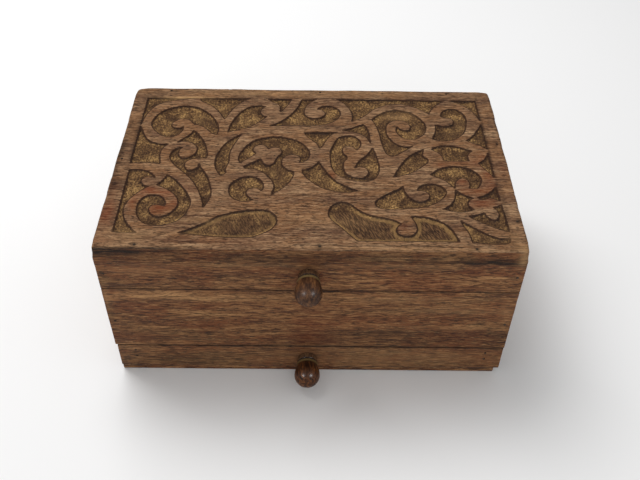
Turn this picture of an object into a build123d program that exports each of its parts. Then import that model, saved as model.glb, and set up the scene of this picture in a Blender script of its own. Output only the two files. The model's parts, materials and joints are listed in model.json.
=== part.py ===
from build123d import *
import os
from math import cos, radians, sin

# Wooden puzzle box: a hinged lid with a carved scroll ornament, a case with one compartment, a full
# width drawer underneath, and two hidden locks. Millimetres. The origin is the centre of the base's
# underside, +X runs to the right, the front faces -Y and +Z is up. The lid and the drawer are shut, and
# both hidden locks are in their open place.

# ---------------------------------------------------------------- driving dimensions
BOX_WIDTH = 254.0
BOX_DEPTH = 165.0
BOX_HEIGHT = 114.5
BOARD = 8.0              # thickness of walls and rails
TOP_BOARD = 10.0         # thickness of the carved board
FLOOR_BOARD = 4.0        # thickness of the base and of the compartment's floor
CASE_BOTTOM = 25.8       # underside of the case's boards
CASE_TOP = 79.7          # rim of the case
LID_BOTTOM = 80.0        # rim of the lid
EDGE_WEAR = 1.0          # rounding of the carved board's worn edges

PLINTH_INSET_LEFT = 1.0  # how far the drawer layer stands back from the case
PLINTH_INSET_RIGHT = 0.2
PLINTH_INSET_BACK = 2.0
BASE_REVEAL = 0.4        # how far the base board stands back from the plinth
BASE_REVEAL_RIGHT = 3.2  # the same at its right end, where it is cut short

GAP = 0.5                # clearance round the drawer's front
DRAWER_SIDE = 5.0
DRAWER_BOARD = 3.0       # thickness of the drawer's bottom
DRAWER_SIDE_GAP = 1.0
DRAWER_SIDE_BOTTOM = 4.4
DRAWER_RIM = 24.6        # top of the drawer's sides
DRAWER_FLOOR = 9.5       # underside of the drawer's bottom
DRAWER_TRAVEL = 110.0

CARVE_DEPTH = 1.6

KNOB_RADIUS = 8.3
KNOB_LENGTH = 21.6
KNOB_COLLAR = (3.4, 6.5) # length and radius of the foot collar
KNOB_NECK = (4.2, 5.8)   # place and radius of the groove's bottom
KNOB_RIM = (5.0, 6.8, 7.0)  # start, end and radius of the rim
KNOB_SWELL = (9.8, 7.8)  # place and radius of a point where the barrel swells
LID_KNOB_X = -1.2
LID_KNOB_Z = 92.6
DRAWER_KNOB_X = -1.8
DRAWER_KNOB_Z = 13.0

HINGE_X = 72.0           # hinge centres, left and right of the middle
HINGE_AXIS_Y = BOX_DEPTH / 2 + 2.7
HINGE_AXIS_Z = (CASE_TOP + LID_BOTTOM) / 2
HINGE_WIDTH = 30.0
HINGE_KNUCKLE = 2.2      # outer radius of the knuckles
HINGE_RELIEF = 3.0       # height of the cut-outs for the other leaf's knuckles
HINGE_END_GAP = 0.2      # gap at each end of a knuckle
HINGE_PIN = 1.0          # radius of the pin
HINGE_RUNNING = 0.05     # clearance of the pin in the knuckle that turns
LEAF_THICK = 1.2
LEAF_LENGTH = 17.0
LEAF_SCREW_Z = 10.5      # height of the screws above or below the hinge's axis
LEAF_SCREW_X = 9.0       # screws left and right of the hinge's centre
HINGE_SCREW = 1.1        # shank radius
HINGE_SCREW_HEAD = 2.3
LID_OPEN_ANGLE = 105.0
HEEL_REACH = 5.5         # how far the stop heel stands out from the hinge's axis
HEEL_GAP = 0.35          # what is left between the heel and the lower leaf with the lid fully open

LATCH_X = -28.0          # centre of the latch bar, unlocked
LATCH_TRAVEL = 10.0
LATCH_NOSE_REACH = 12.0  # nose beyond the bar's centre
LATCH_WIDTH = 12.0
GUIDE_THICK = 3.0        # straps of the latch's guides
GUIDE_HEIGHT = 8.0
GUIDE_POST = 6.0         # width of the spacers under the straps
SLIDE_X = -8.0           # centre of the drawer lock, unlocked
SLIDE_Y = 44.0
SLIDE_TRAVEL = 16.0
SLIDE_PLATE = (50.0, 20.0, 1.4)
SLIDE_BOSS = (12.0, 10.0)
BOSS_BOTTOM = 0.8        # height of the boss above the table
BOSS_GROOVE = (2.0, 1.0) # width and depth of the fingernail groove
SLIDE_LIFT = 0.3         # the plate's running gap over the base
SLIDE_PEG_RADIUS = 4.0
SLIDE_PEG_TOP = 9.0
RAIL_FOOT = 3.6          # the slide guides' feet
RAIL_LIP = 2.5
RAIL_LIP_THICK = 1.0

KNOB_SCREW = 1.6         # shank radius
KNOB_SCREW_LENGTH = 14.0
KNOB_SCREW_HEAD = 3.2
SCREW_HEAD_THICK = 1.6
RECESS_DEPTH = 2.0

BRAD_RADIUS = 0.8
BRAD_LENGTH = 16.0
PANEL_BRAD_LENGTH = 20.0
PLINTH_BRAD_INSET = 2.6  # how far the plinth rails' brads stand in from the rails' inner faces

# ---------------------------------------------------------------- places worked out from them
HALF_W = BOX_WIDTH / 2
HALF_D = BOX_DEPTH / 2
FRONT_IN = -HALF_D + BOARD
BACK_IN = HALF_D - BOARD
SIDE_IN = HALF_W - BOARD
PANEL_BOTTOM = BOX_HEIGHT - TOP_BOARD
PLINTH_LEFT = -HALF_W + PLINTH_INSET_LEFT
PLINTH_RIGHT = HALF_W - PLINTH_INSET_RIGHT
PLINTH_BACK = HALF_D - PLINTH_INSET_BACK
BAY_LEFT = PLINTH_LEFT + BOARD
BAY_RIGHT = PLINTH_RIGHT - BOARD
BAY_BACK = PLINTH_BACK - BOARD
FLOOR_TOP = CASE_BOTTOM + FLOOR_BOARD

DRAWER_LEFT = BAY_LEFT + DRAWER_SIDE_GAP
DRAWER_RIGHT = BAY_RIGHT - DRAWER_SIDE_GAP
DRAWER_END = BAY_BACK - 1.5
DRAWER_STOP_X = (0.0, 40.0)
DRAWER_STOP_Y = (51.0, 61.0)
DRAWER_STOP_Z = 7.4

LATCH_Y = (FRONT_IN + 0.9, FRONT_IN + 4.9)
LATCH_NOSE_Z = (86.0, 90.0)
KEEPER_X = (LATCH_X + LATCH_WIDTH / 2 + LATCH_TRAVEL + 0.8, LATCH_X + 28.0)
KEEPER_Z = (82.0, 85.5)
NOTCH_BACK = FRONT_IN + 16.5

# ---------------------------------------------------------------- carved ornament
# Each pocket is a closed outline, seen from above, of runs. A run starts at a sharp corner and ends at
# the next run's corner. A run of one corner is straight, and a run with more points is one smooth curve.
CARVED_POCKETS = [
    # corner leaf, back left
    [[(-117.3, 70)],
     [(-84, 70.3), (-98, 67.6), (-108.5, 62.8), (-114, 54.5)],
     [(-117.3, 38)]],
    # large scroll, back left
    [[(-64.8, 27.6), (-64.2, 33), (-65.2, 39), (-71.5, 50.5), (-76, 55.3), (-82, 59), (-90, 60.6),
      (-97, 58.9), (-103, 55.3), (-107.3, 50), (-109.8, 43.5), (-109.6, 37), (-107, 32), (-103, 27.8),
      (-98.5, 24.6), (-94.5, 24.6), (-91, 27)],
     [(-88.3, 36), (-91.5, 34.3), (-95, 35.3), (-96.6, 38.3), (-95.2, 42), (-91.5, 45), (-87, 45.2),
      (-83, 42.3)],
     [(-80.5, 38.4), (-76, 37.4), (-71.5, 33.8), (-68, 29.5)]],
    # wedge between the first two scrolls
    [[(-80, 70.3)],
     [(-45, 70.5), (-54, 62), (-57.5, 55)],
     [(-61, 45.8), (-68.5, 58.5), (-73.5, 63.5), (-78, 66.5)]],
    # leaf right of the first scroll
    [[(-57.2, 30.5), (-56.3, 38), (-54, 46), (-50, 54), (-45.5, 59.5), (-39.5, 61.8)],
     [(-33.5, 61), (-36, 58), (-36.8, 54), (-35.3, 50.5)],
     [(-32, 49), (-39, 40.5), (-43.5, 36.5), (-50, 33.5)]],
    # small wedge at the back
    [[(-31.5, 70.2)],
     [(-15.5, 70), (-18, 63.5)],
     [(-22.6, 55), (-22.8, 59.5), (-24, 63.5), (-28, 66.6)]],
    # middle scroll at the back
    [[(-8, 69.8), (-11.5, 58.5), (-15, 52), (-20, 45.5)],
     [(-29, 38), (-20, 39), (-8, 39.3), (2, 39.3), (9, 41), (14, 44.2), (17.5, 48.5), (19, 53.5),
      (17.8, 58), (14, 61.5), (9, 62.5), (5, 60.8)],
     [(3.3, 58.2), (6.5, 57.5), (8.6, 54.5), (8, 50.8), (5, 48.3), (0.5, 47.2), (-3.5, 48.6), (-6, 52),
      (-6.4, 57), (-4.8, 62.5), (-1.5, 67.3)],
     [(2, 70.2)]],
    # small wedge under the middle scroll
    [[(-5.5, 31)],
     [(16.5, 31.6), (12.5, 29), (8, 20.5)],
     [(4.9, 14), (3.2, 18.5), (0, 22.5)]],
    # long leaf at the back
    [[(17, 70.8), (21, 67.5), (24.3, 62.5), (27, 56), (27.6, 50)],
     [(27, 45), (31.5, 47.5), (36, 51.5), (40.5, 57), (46, 61.8), (53, 65), (60, 66), (67, 64.8),
      (73, 61.6)],
     [(81, 54.5), (82.5, 58.5), (85.5, 63.5), (89, 67.5)],
     [(93, 70.4)]],
    # fourth scroll
    [[(41, 47), (45, 51.6), (50, 55.8), (56, 58.2), (62, 58), (68, 55), (72.5, 50.5), (76, 44.5),
      (77.2, 38), (75.6, 31.5), (71.5, 27), (66.5, 24.8), (61.5, 26.5), (58.3, 30)],
     [(57.6, 38.5), (60, 35.6), (63.5, 34.3), (66.3, 35.8), (67, 39.5), (65.3, 43.5), (61, 46),
      (56, 46), (52.5, 43.5), (50.2, 39.5), (49.6, 34), (50.3, 28.5), (52.5, 23.5), (56, 18.9),
      (60.5, 16.6)],
     [(66.5, 17.3), (61.5, 13), (57.5, 9.5), (54, 6.8), (50.5, 7.2), (48.3, 11), (46.8, 18), (45.7, 27),
      (44.6, 35)]],
    # fifth scroll
    [[(84.2, 41.8), (88, 40.2), (92.5, 39.8), (96, 42), (97.4, 46), (96, 49.3), (93, 50.3)],
     [(89.6, 51), (89.7, 54.5), (91.8, 58.3), (96, 60.5), (100.5, 59.8), (104, 56), (106, 50.5),
      (105.6, 43.5), (104, 36.5), (101, 30.5), (96, 26), (89, 23.6)],
     [(80.8, 25.5), (82.8, 31), (84.2, 36.5)]],
    # corner leaf, back right
    [[(98, 70.5)],
     [(115.5, 70.8)],
     [(115.8, 47), (112.8, 56.5), (109.5, 62), (105.5, 66)]],
    # two wedges on the right border
    [[(103.3, 24.2), (107, 27.3), (110.5, 32)],
     [(115.7, 42)],
     [(115.9, 15), (113.5, 17.5), (110, 20.2)]],
    [[(108.3, 0), (111.8, 2.8), (114.2, 6.2)],
     [(115.8, 10.5)],
     [(116, -14), (113.3, -8.8), (110.5, -4)]],
    # leaf right of the middle
    [[(79, 14), (82, 16.6), (86, 18), (91, 18.1), (96, 16.8)],
     [(105.5, 12.3), (103, 10.3), (101.8, 6.5)],
     [(102.2, 2.3), (94, 1.9)],
     [(86, 2.5), (85.3, 7), (82.8, 11)]],
    # leaf below it
    [[(52, -15), (56.5, -5), (59.5, 0.5), (63, 5.5), (68, 10.2)],
     [(73.5, 14), (72.3, 9.5), (72.4, 6.3)],
     [(75, 4.3), (75.2, 1), (71, -4), (66.5, -8.5), (60, -12.3)]],
    # arch on the right
    [[(75.8, -12.5), (79, -9), (83.5, -5.8), (89, -4.1), (95, -3.9), (100.5, -5.8), (105, -10),
      (107.4, -15), (106.8, -19.5)],
     [(103.8, -25.3)],
     [(98.8, -25.3), (99.8, -21.5), (99, -17.6), (95.7, -15.2), (92.3, -17), (90.3, -20.8)],
     [(89.6, -25.5), (87.3, -21.5), (84, -17.8), (80, -15)]],
    # lower right scroll
    [[(57, -24.3), (53, -28), (47.5, -31.3), (42.5, -35.6), (39.2, -40), (41, -44.3), (46, -45.7),
      (54, -45.5), (62, -44.6), (70, -42.8), (77, -39), (81.5, -34.5), (83.7, -29), (81.5, -24.5),
      (76.5, -21.8), (71, -22.2)],
     [(66, -28), (70, -28.4), (73.1, -31.3), (73, -35), (70, -38), (65, -38.7), (60.8, -35.5)]],
    # leaf right of it
    [[(90, -27.3), (89.2, -33), (87.3, -38.5), (84, -42.8)],
     [(80, -45.2), (85, -46.8), (90.5, -47.7), (95.5, -46.9)],
     [(99, -45.2), (96.6, -43), (95.8, -40), (97, -37)],
     [(100, -34.8), (96, -33), (92.5, -30.5)]],
    # fin on the right border
    [[(103, -34.2), (107.5, -32), (111.5, -29)],
     [(115.7, -24)],
     [(116, -37), (113, -35), (110, -34), (107.5, -35.3)]],
    # hooked leaf on the right border
    [[(111.3, -43.2), (113.8, -42.2)],
     [(116.4, -41)],
     [(117.2, -64.5), (111, -62), (105, -58.6), (99.5, -55)],
     [(95.5, -51.5), (100, -50.5)],
     [(104.5, -48.3), (106, -51.5), (108.2, -54.3), (111, -54.6), (113.3, -52), (113.8, -48)]],
    # corner leaf, front right
    [[(89.8, -56), (94, -59.5), (99, -63.5), (104, -67.5), (109, -70)],
     [(116.5, -71), (115.8, -73.8), (112, -75), (104, -75)],
     [(94.5, -74.2), (94, -70), (92.7, -64), (91, -60)]],
    # wing along the front
    [[(60, -52.3), (64, -52.2), (69, -52.8), (74, -54.8), (79, -58), (82.5, -62.5)],
     [(86.5, -73.5)],
     [(27, -73.6), (21.5, -67), (15, -59), (12, -55.5), (10.3, -50), (11.5, -45), (14.5, -41.3),
      (19, -39.8), (23, -41.3), (26, -44.5), (30, -48.5), (35, -51.5), (41, -53.3), (47, -54.8)],
     [(53.5, -58.8), (51.2, -61.3), (50.3, -64.5), (51.8, -68), (55.5, -69.5), (59.5, -68.8),
      (62.2, -66), (63.1, -61.5), (62, -56.5)]],
    # drop along the front
    [[(-78, -68.5), (-68, -62.8), (-62, -58.5), (-57, -54.2), (-51, -51.7), (-45, -49.5), (-38, -48.3),
      (-31, -47.7), (-26, -49), (-22.7, -52), (-21, -56.5), (-21.8, -61), (-24.5, -65), (-28.5, -68),
      (-33, -70.5), (-42, -71.8), (-52, -71.5), (-62, -70.5)]],
    # comma under the middle arc
    [[(-31.6, -29.8), (-33.5, -27.7), (-36.8, -26.9), (-40.2, -28.6), (-41, -32), (-39.5, -35.6)],
     [(-36.5, -38.4), (-40, -39.8), (-45, -39.2), (-49.3, -36), (-51.6, -30.5), (-51.2, -24.5),
      (-48, -19.8), (-43.5, -17), (-38.5, -16.3), (-34, -18.3), (-31.2, -22.5)]],
    # middle arc with its bud
    [[(-46.5, -2), (-48, 2), (-47.3, 7), (-45, 13), (-42, 18), (-38, 22), (-33, 24.3), (-27, 25.5),
      (-20, 25.3), (-14, 23.5), (-9, 20.5), (-5, 16), (-2.5, 11), (-2, 6), (-3, 2.5)],
     [(-8.3, -1.3), (-7.5, 2), (-8.3, 5), (-11, 6.8), (-15, 6.5), (-18.3, 4.5), (-20, 1), (-20, -3),
      (-18, -7)],
     [(-11.8, -11), (-12.3, -15), (-14, -20), (-17, -25), (-20.5, -29)],
     [(-25, -33.5), (-24.3, -30), (-23.6, -26), (-25, -20.5), (-27.5, -16), (-31, -12), (-35, -9.3),
      (-39, -8.3), (-42.5, -8.2), (-43.9, -6.5), (-42, -4.5), (-38, -1.3)],
     [(-33.8, 1.8), (-32.5, -1.5), (-30.5, -4.2), (-28, -4.9), (-25.5, -3.6), (-23.9, -0.5)],
     [(-21, 6.3), (-20, 8.5), (-20.5, 12), (-23, 14.3)],
     [(-29, 12.5), (-30.5, 15.3), (-33.5, 17), (-37, 16.2), (-39.2, 13.5)],
     [(-37.3, 8), (-39.5, 5), (-42.5, 2)]],
    # blade left of the middle arc
    [[(-48.3, 28), (-53, 24), (-57.3, 18.5), (-60.8, 11), (-62.8, 3), (-62.5, -5), (-60.5, -11.5)],
     [(-58, -15.3)],
     [(-55.2, -12.5), (-55.8, -8), (-54.4, -2), (-54.5, 5.5), (-53.8, 12), (-51.7, 19)]],
    # leaf under the middle arc
    [[(4, -0.5), (6.5, -6), (10, -12.8), (14.5, -19.3), (20.5, -24.3)],
     [(28, -28.8), (21, -30.5), (13, -29.3), (5.5, -25.6), (-0.5, -20), (-5, -14)],
     [(-6.3, -9.3), (-2, -7.6), (1.7, -4.3)]],
    # hooked ring right of the middle
    [[(16.5, 24.3), (13.7, 17), (12, 11), (11.8, 4), (12.3, -3), (13.8, -9), (17, -14), (22, -17.2),
      (28, -19), (34, -19.5), (39, -17.5), (41.8, -13), (43, -6), (42.5, 1), (41.3, 8)],
     [(39.9, 14.5), (38, 11), (35, 6), (31, 1.5), (29, -2.5)],
     [(27.5, -6.5), (30.5, -5), (34, -5.7), (36.1, -9), (35.8, -13), (33, -16), (28, -16.3),
      (23.5, -14.3), (20.5, -10), (19.8, -4.5), (20.7, 0.5), (22.6, 4.8), (21, 7), (19.7, 9.8),
      (19.6, 13), (21, 15.9), (24.3, 16.4)],
     [(29.3, 12.5), (31.2, 15.5), (32, 19), (31.2, 23), (28.5, 26.6), (24.5, 28), (20, 27)]],
    # wedge above it
    [[(20.5, 34), (27, 37)],
     [(34.5, 41), (36.6, 37), (38, 30)],
     [(38.6, 20.5), (35.3, 27.8), (31.8, 30.8), (26.5, 32.6)]],
    # two fields on the left border
    [[(-117.3, 36), (-113, 25.5), (-110, 21), (-106, 18), (-101, 16.4)],
     [(-96, 16.4), (-99.5, 10.5), (-100, 6), (-99.5, 2)],
     [(-98.3, -4), (-107, -3.2)],
     [(-117.3, -3.8)]],
    [[(-116.6, -10.8), (-110, -10.6), (-104.5, -12.7)],
     [(-99.7, -17.8), (-103.5, -16.9), (-107, -18.8), (-107.8, -22), (-106, -25.3)],
     [(-102, -26.8), (-105.5, -29.8), (-110, -35.5), (-113.3, -42), (-114, -48.5), (-112.5, -55.5)],
     [(-103, -68.8)],
     [(-116.6, -68.3)]],
    # lower left scroll
    [[(-92, -15.5), (-85, -22), (-82, -26), (-79, -30.5), (-76, -36), (-74.3, -42), (-75, -48),
      (-77, -53.5), (-81, -58.5), (-86, -61), (-92, -62.3), (-97, -61.5), (-101, -59), (-104, -55),
      (-105.5, -50), (-106, -45), (-105, -40), (-102.5, -36.5), (-99, -35), (-95, -35.3), (-91.5, -38)],
     [(-89.7, -45), (-92.5, -44), (-95.5, -43.8), (-98, -45), (-98.8, -47.5), (-98, -51), (-95, -54),
      (-90.5, -54.8), (-86, -52.3), (-83, -48.5), (-81.5, -43.5), (-82.5, -38), (-85, -34),
      (-88.5, -30.5)],
     [(-97, -25.3), (-95.3, -23), (-93.5, -20)]],
    # vine between the left scrolls
    [[(-80.6, 32), (-77, 27.5), (-73.5, 21.5), (-70.8, 14.5), (-69.2, 7.5)],
     [(-69, 2.3), (-74.5, 2), (-79.5, 0.7), (-82.4, -3), (-82, -7.5), (-79.2, -10.8), (-76, -10)],
     [(-73.2, -4), (-70, -10.5), (-66.5, -17), (-64.2, -24.5), (-62.7, -32), (-63.5, -39)],
     [(-65.9, -45.5), (-68.3, -36), (-71.5, -28), (-75.5, -20.3), (-80.5, -14), (-86, -8),
      (-90.5, -2.3), (-92.8, 4), (-91.5, 9.5)],
     [(-86, 13.2), (-88, 8.5), (-87, 3.8), (-83.5, 1.7), (-79.3, 3.7), (-76.3, 8), (-76, 12.8),
      (-78.3, 16.8)],
     [(-89.6, 18.8), (-86.3, 22.8), (-82.8, 27)]],
]


# ---------------------------------------------------------------- small helpers
def board(x_range, y_range, z_range):
    """A rectangular board between two limits along each axis."""
    size = [high - low for low, high in (x_range, y_range, z_range)]
    low_corner = (x_range[0], y_range[0], z_range[0])
    return Pos(*low_corner) * Box(*size, align=(Align.MIN, Align.MIN, Align.MIN))


def rod(start, direction, radius, length):
    """A round bar from a point, along a direction."""
    plane = Plane(origin=start, z_dir=direction)
    return plane * Cylinder(radius, length, align=(Align.CENTER, Align.CENTER, Align.MIN))


def write(node, *solids):
    """Writes one node, of one solid or of several separate ones."""
    shape = solids[0] if len(solids) == 1 else Compound(children=list(solids))
    export_step(shape, f"parts/{node}.step")


# ---------------------------------------------------------------- case
def make_base():
    slot_x = SLIDE_X + SLIDE_TRAVEL / 2
    slot_half_x = SLIDE_TRAVEL / 2 + SLIDE_BOSS[0] / 2 + GAP
    slot_half_y = SLIDE_BOSS[1] / 2 + GAP
    base = board((PLINTH_LEFT + BASE_REVEAL, PLINTH_RIGHT - BASE_REVEAL_RIGHT),
                 (-HALF_D + BASE_REVEAL, PLINTH_BACK - BASE_REVEAL), (0, FLOOR_BOARD))
    return base - board((slot_x - slot_half_x, slot_x + slot_half_x),
                        (SLIDE_Y - slot_half_y, SLIDE_Y + slot_half_y), (-1, FLOOR_BOARD + 1))


def make_plinth():
    heights = (FLOOR_BOARD, CASE_BOTTOM)
    run = (FRONT_IN + GAP, PLINTH_BACK)
    write("plinth_left_rail", board((PLINTH_LEFT, BAY_LEFT), run, heights))
    write("plinth_right_rail", board((BAY_RIGHT, PLINTH_RIGHT), run, heights))
    write("plinth_back_rail", board((BAY_LEFT, BAY_RIGHT), (BAY_BACK, PLINTH_BACK), heights))


def make_case_walls():
    heights = (CASE_BOTTOM, CASE_TOP)
    write("front_wall", board((-HALF_W, HALF_W), (-HALF_D, FRONT_IN), heights))
    write("back_wall", board((-HALF_W, HALF_W), (BACK_IN, HALF_D), heights))
    write("left_wall", board((-HALF_W, -SIDE_IN), (FRONT_IN, BACK_IN), heights))
    write("right_wall", board((SIDE_IN, HALF_W), (FRONT_IN, BACK_IN), heights))


def make_compartment_floor():
    notch_half = LATCH_WIDTH / 2 + 3
    floor = board((-SIDE_IN, SIDE_IN), (FRONT_IN, BACK_IN), (CASE_BOTTOM, FLOOR_TOP))
    return floor - board((LATCH_X - notch_half, LATCH_X + LATCH_TRAVEL + notch_half),
                         (FRONT_IN - 1, NOTCH_BACK), (CASE_BOTTOM - 1, FLOOR_TOP + 1))


def make_case_brads():
    """Nails through the front and back walls into the side walls, and through the base."""
    side_x = HALF_W - BOARD / 2
    height = CASE_BOTTOM + 24
    walls = []
    for x in (-side_x, side_x):
        walls.append(rod((x, -HALF_D, height), (0, 1, 0), BRAD_RADIUS, BRAD_LENGTH))
        walls.append(rod((x, HALF_D, height), (0, -1, 0), BRAD_RADIUS, BRAD_LENGTH))
    write("case_brads", *walls)
    plinth = []
    for x in (BAY_LEFT - PLINTH_BRAD_INSET, BAY_RIGHT + PLINTH_BRAD_INSET):
        for y in (-HALF_D + 24, 0, PLINTH_BACK - 16):
            plinth.append(rod((x, y, 0), (0, 0, 1), BRAD_RADIUS, BRAD_LENGTH))
    write("plinth_brads", *plinth)


def make_drawer_limit_cleat():
    front = DRAWER_STOP_Y[0] - DRAWER_TRAVEL - GAP
    return board(DRAWER_STOP_X, (front - 8, front), (FLOOR_BOARD, DRAWER_FLOOR - 1))


def make_latch_guides():
    """Two straps that hold the latch bar against the front wall, each on two spacers."""
    left = LATCH_X - LATCH_WIDTH / 2 - GAP
    right = LATCH_X + LATCH_WIDTH / 2 + LATCH_TRAVEL + GAP
    spacer_y = (FRONT_IN, LATCH_Y[1] + GAP)
    strap_y = (spacer_y[1], spacer_y[1] + GUIDE_THICK)
    solids = []
    for low in (FLOOR_TOP + GUIDE_HEIGHT, CASE_TOP - 2 * GUIDE_HEIGHT):
        heights = (low, low + GUIDE_HEIGHT)
        solids.append(board((left - GUIDE_POST, left), spacer_y, heights))
        solids.append(board((right, right + GUIDE_POST), spacer_y, heights))
        solids.append(board((left - GUIDE_POST, right + GUIDE_POST), strap_y, heights))
    return solids


# ---------------------------------------------------------------- drawer lock, under the drawer
def make_slide_plate():
    length, width, thick = SLIDE_PLATE
    low = FLOOR_BOARD + SLIDE_LIFT
    plate = board((SLIDE_X - length / 2, SLIDE_X + length / 2),
                  (SLIDE_Y - width / 2, SLIDE_Y + width / 2), (low, low + thick))
    boss = board((SLIDE_X - SLIDE_BOSS[0] / 2, SLIDE_X + SLIDE_BOSS[0] / 2),
                 (SLIDE_Y - SLIDE_BOSS[1] / 2, SLIDE_Y + SLIDE_BOSS[1] / 2), (BOSS_BOTTOM, low))
    groove_width, groove_depth = BOSS_GROOVE
    groove = board((SLIDE_X - SLIDE_BOSS[0], SLIDE_X + SLIDE_BOSS[0]),
                   (SLIDE_Y - groove_width / 2, SLIDE_Y + groove_width / 2), (0, BOSS_BOTTOM + groove_depth))
    return plate + boss - groove


def make_slide_peg():
    low = FLOOR_BOARD + SLIDE_LIFT + SLIDE_PLATE[2]
    return rod((SLIDE_X, SLIDE_Y + 2, low), (0, 0, 1), SLIDE_PEG_RADIUS, SLIDE_PEG_TOP - low)


def make_slide_guides():
    """Two L-shaped brass rails, each a foot with a lip over the plate's edge."""
    half_run = SLIDE_PLATE[0] / 2 + SLIDE_TRAVEL / 2 + 3
    middle = SLIDE_X + SLIDE_TRAVEL / 2
    lip_low = FLOOR_BOARD + SLIDE_LIFT + SLIDE_PLATE[2] + SLIDE_LIFT
    solids = []
    for side in (-1, 1):
        edge = SLIDE_Y + side * (SLIDE_PLATE[1] / 2 + 0.4)
        foot_y = sorted((edge, edge + side * RAIL_FOOT))
        lip_y = sorted((edge - side * RAIL_LIP, edge))
        lip_top = lip_low + RAIL_LIP_THICK
        foot = board((middle - half_run, middle + half_run), foot_y, (FLOOR_BOARD, lip_top))
        lip = board((middle - half_run, middle + half_run), lip_y, (lip_low, lip_top))
        solids.append(foot + lip)
    return solids


# ---------------------------------------------------------------- hinges
def hinge_leaf(centre_x, direction, knuckles, bore):
    """One leaf: direction is 1 for the lid's leaf, which goes up, and -1 for the case's, which goes down.
    knuckles lists the thirds of the barrel that belong to it."""
    third = HINGE_WIDTH / 3
    ends = sorted((HINGE_AXIS_Z, HINGE_AXIS_Z + direction * LEAF_LENGTH))
    leaf = board((centre_x - HINGE_WIDTH / 2, centre_x + HINGE_WIDTH / 2),
                 (HALF_D, HALF_D + LEAF_THICK), ends)
    relief_z = sorted((HINGE_AXIS_Z - direction, HINGE_AXIS_Z + direction * HINGE_RELIEF))
    for index in range(3):
        start = centre_x - HINGE_WIDTH / 2 + index * third
        if index in knuckles:
            knuckle_start = (start + HINGE_END_GAP, HINGE_AXIS_Y, HINGE_AXIS_Z)
            leaf += rod(knuckle_start, (1, 0, 0), HINGE_KNUCKLE, third - 2 * HINGE_END_GAP)
        else:
            gap = (start - HINGE_END_GAP, start + third + HINGE_END_GAP)
            leaf -= board(gap, (HALF_D - 1, HINGE_AXIS_Y), relief_z)
    leaf -= rod((centre_x - HINGE_WIDTH, HINGE_AXIS_Y, HINGE_AXIS_Z), (1, 0, 0), bore, 2 * HINGE_WIDTH)
    for x in (centre_x - LEAF_SCREW_X, centre_x + LEAF_SCREW_X):
        leaf -= hinge_screw(x, HINGE_AXIS_Z + direction * LEAF_SCREW_Z)
    return leaf


def hinge_screw(x, z):
    """A countersunk screw, its head flush with the leaf, pointing into the board."""
    face = HALF_D + LEAF_THICK
    head = Plane(origin=(x, face, z), z_dir=(0, -1, 0)) * Cone(
        HINGE_SCREW_HEAD, HINGE_SCREW, LEAF_THICK, align=(Align.CENTER, Align.CENTER, Align.MIN))
    return head + rod((x, HALF_D, z), (0, -1, 0), HINGE_SCREW, BOARD - 2)


def slotted(screw, x, z):
    face = HALF_D + LEAF_THICK
    return screw - board((x - 3, x + 3), (face - 0.5, face + 1), (z - 0.3, z + 0.3))


def stop_heel(centre_x):
    """The heel on the lid's middle knuckle that meets the case's leaf when the lid is fully open."""
    thick = 2 * (HINGE_AXIS_Y - HALF_D - LEAF_THICK - HEEL_GAP)
    tilt = LID_OPEN_ANGLE - 90
    width = HINGE_WIDTH / 3 - 2 * HINGE_END_GAP
    inner = HINGE_PIN + 0.5
    heel = Pos(0, inner, 0) * Box(width, HEEL_REACH - inner, thick,
                                  align=(Align.CENTER, Align.MIN, Align.CENTER))
    place = Pos(centre_x, HINGE_AXIS_Y, HINGE_AXIS_Z)
    return place * Rot(tilt, 0, 0) * heel


def make_hinges():
    lower_screws = []
    upper_screws = []
    for side, centre_x in (("left", -HINGE_X), ("right", HINGE_X)):
        write(f"{side}_hinge_lower_leaf", hinge_leaf(centre_x, -1, (0, 2), HINGE_PIN))
        upper = hinge_leaf(centre_x, 1, (1,), HINGE_PIN + HINGE_RUNNING)
        write(f"{side}_hinge_upper_leaf", upper + stop_heel(centre_x))
        pin_start = (centre_x - HINGE_WIDTH / 2, HINGE_AXIS_Y, HINGE_AXIS_Z)
        write(f"{side}_hinge_pin", rod(pin_start, (1, 0, 0), HINGE_PIN, HINGE_WIDTH))
        for x in (centre_x - LEAF_SCREW_X, centre_x + LEAF_SCREW_X):
            low = HINGE_AXIS_Z - LEAF_SCREW_Z
            high = HINGE_AXIS_Z + LEAF_SCREW_Z
            lower_screws.append(slotted(hinge_screw(x, low), x, low))
            upper_screws.append(slotted(hinge_screw(x, high), x, high))
    write("hinge_lower_screws", *lower_screws)
    write("hinge_upper_screws", *upper_screws)


# ---------------------------------------------------------------- lid
def pocket_outline(runs):
    """The closed outline of one carved pocket, from its runs."""
    edges = []
    for index, run in enumerate(runs):
        following = runs[(index + 1) % len(runs)][0]
        points = run + [following]
        edges.append(Line(*points) if len(points) == 2 else Spline(*points))
    return edges


def make_carved_top():
    panel = board((-HALF_W, HALF_W), (-HALF_D, HALF_D), (PANEL_BOTTOM, BOX_HEIGHT))
    panel = fillet(panel.edges().group_by(Axis.Z)[-1], EDGE_WEAR)
    pockets = []
    for runs in CARVED_POCKETS:
        face = make_face(pocket_outline(runs))
        pockets.append(Pos(0, 0, BOX_HEIGHT - CARVE_DEPTH) * extrude(face, CARVE_DEPTH + 1, dir=(0, 0, 1)))
    return panel - pockets


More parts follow.
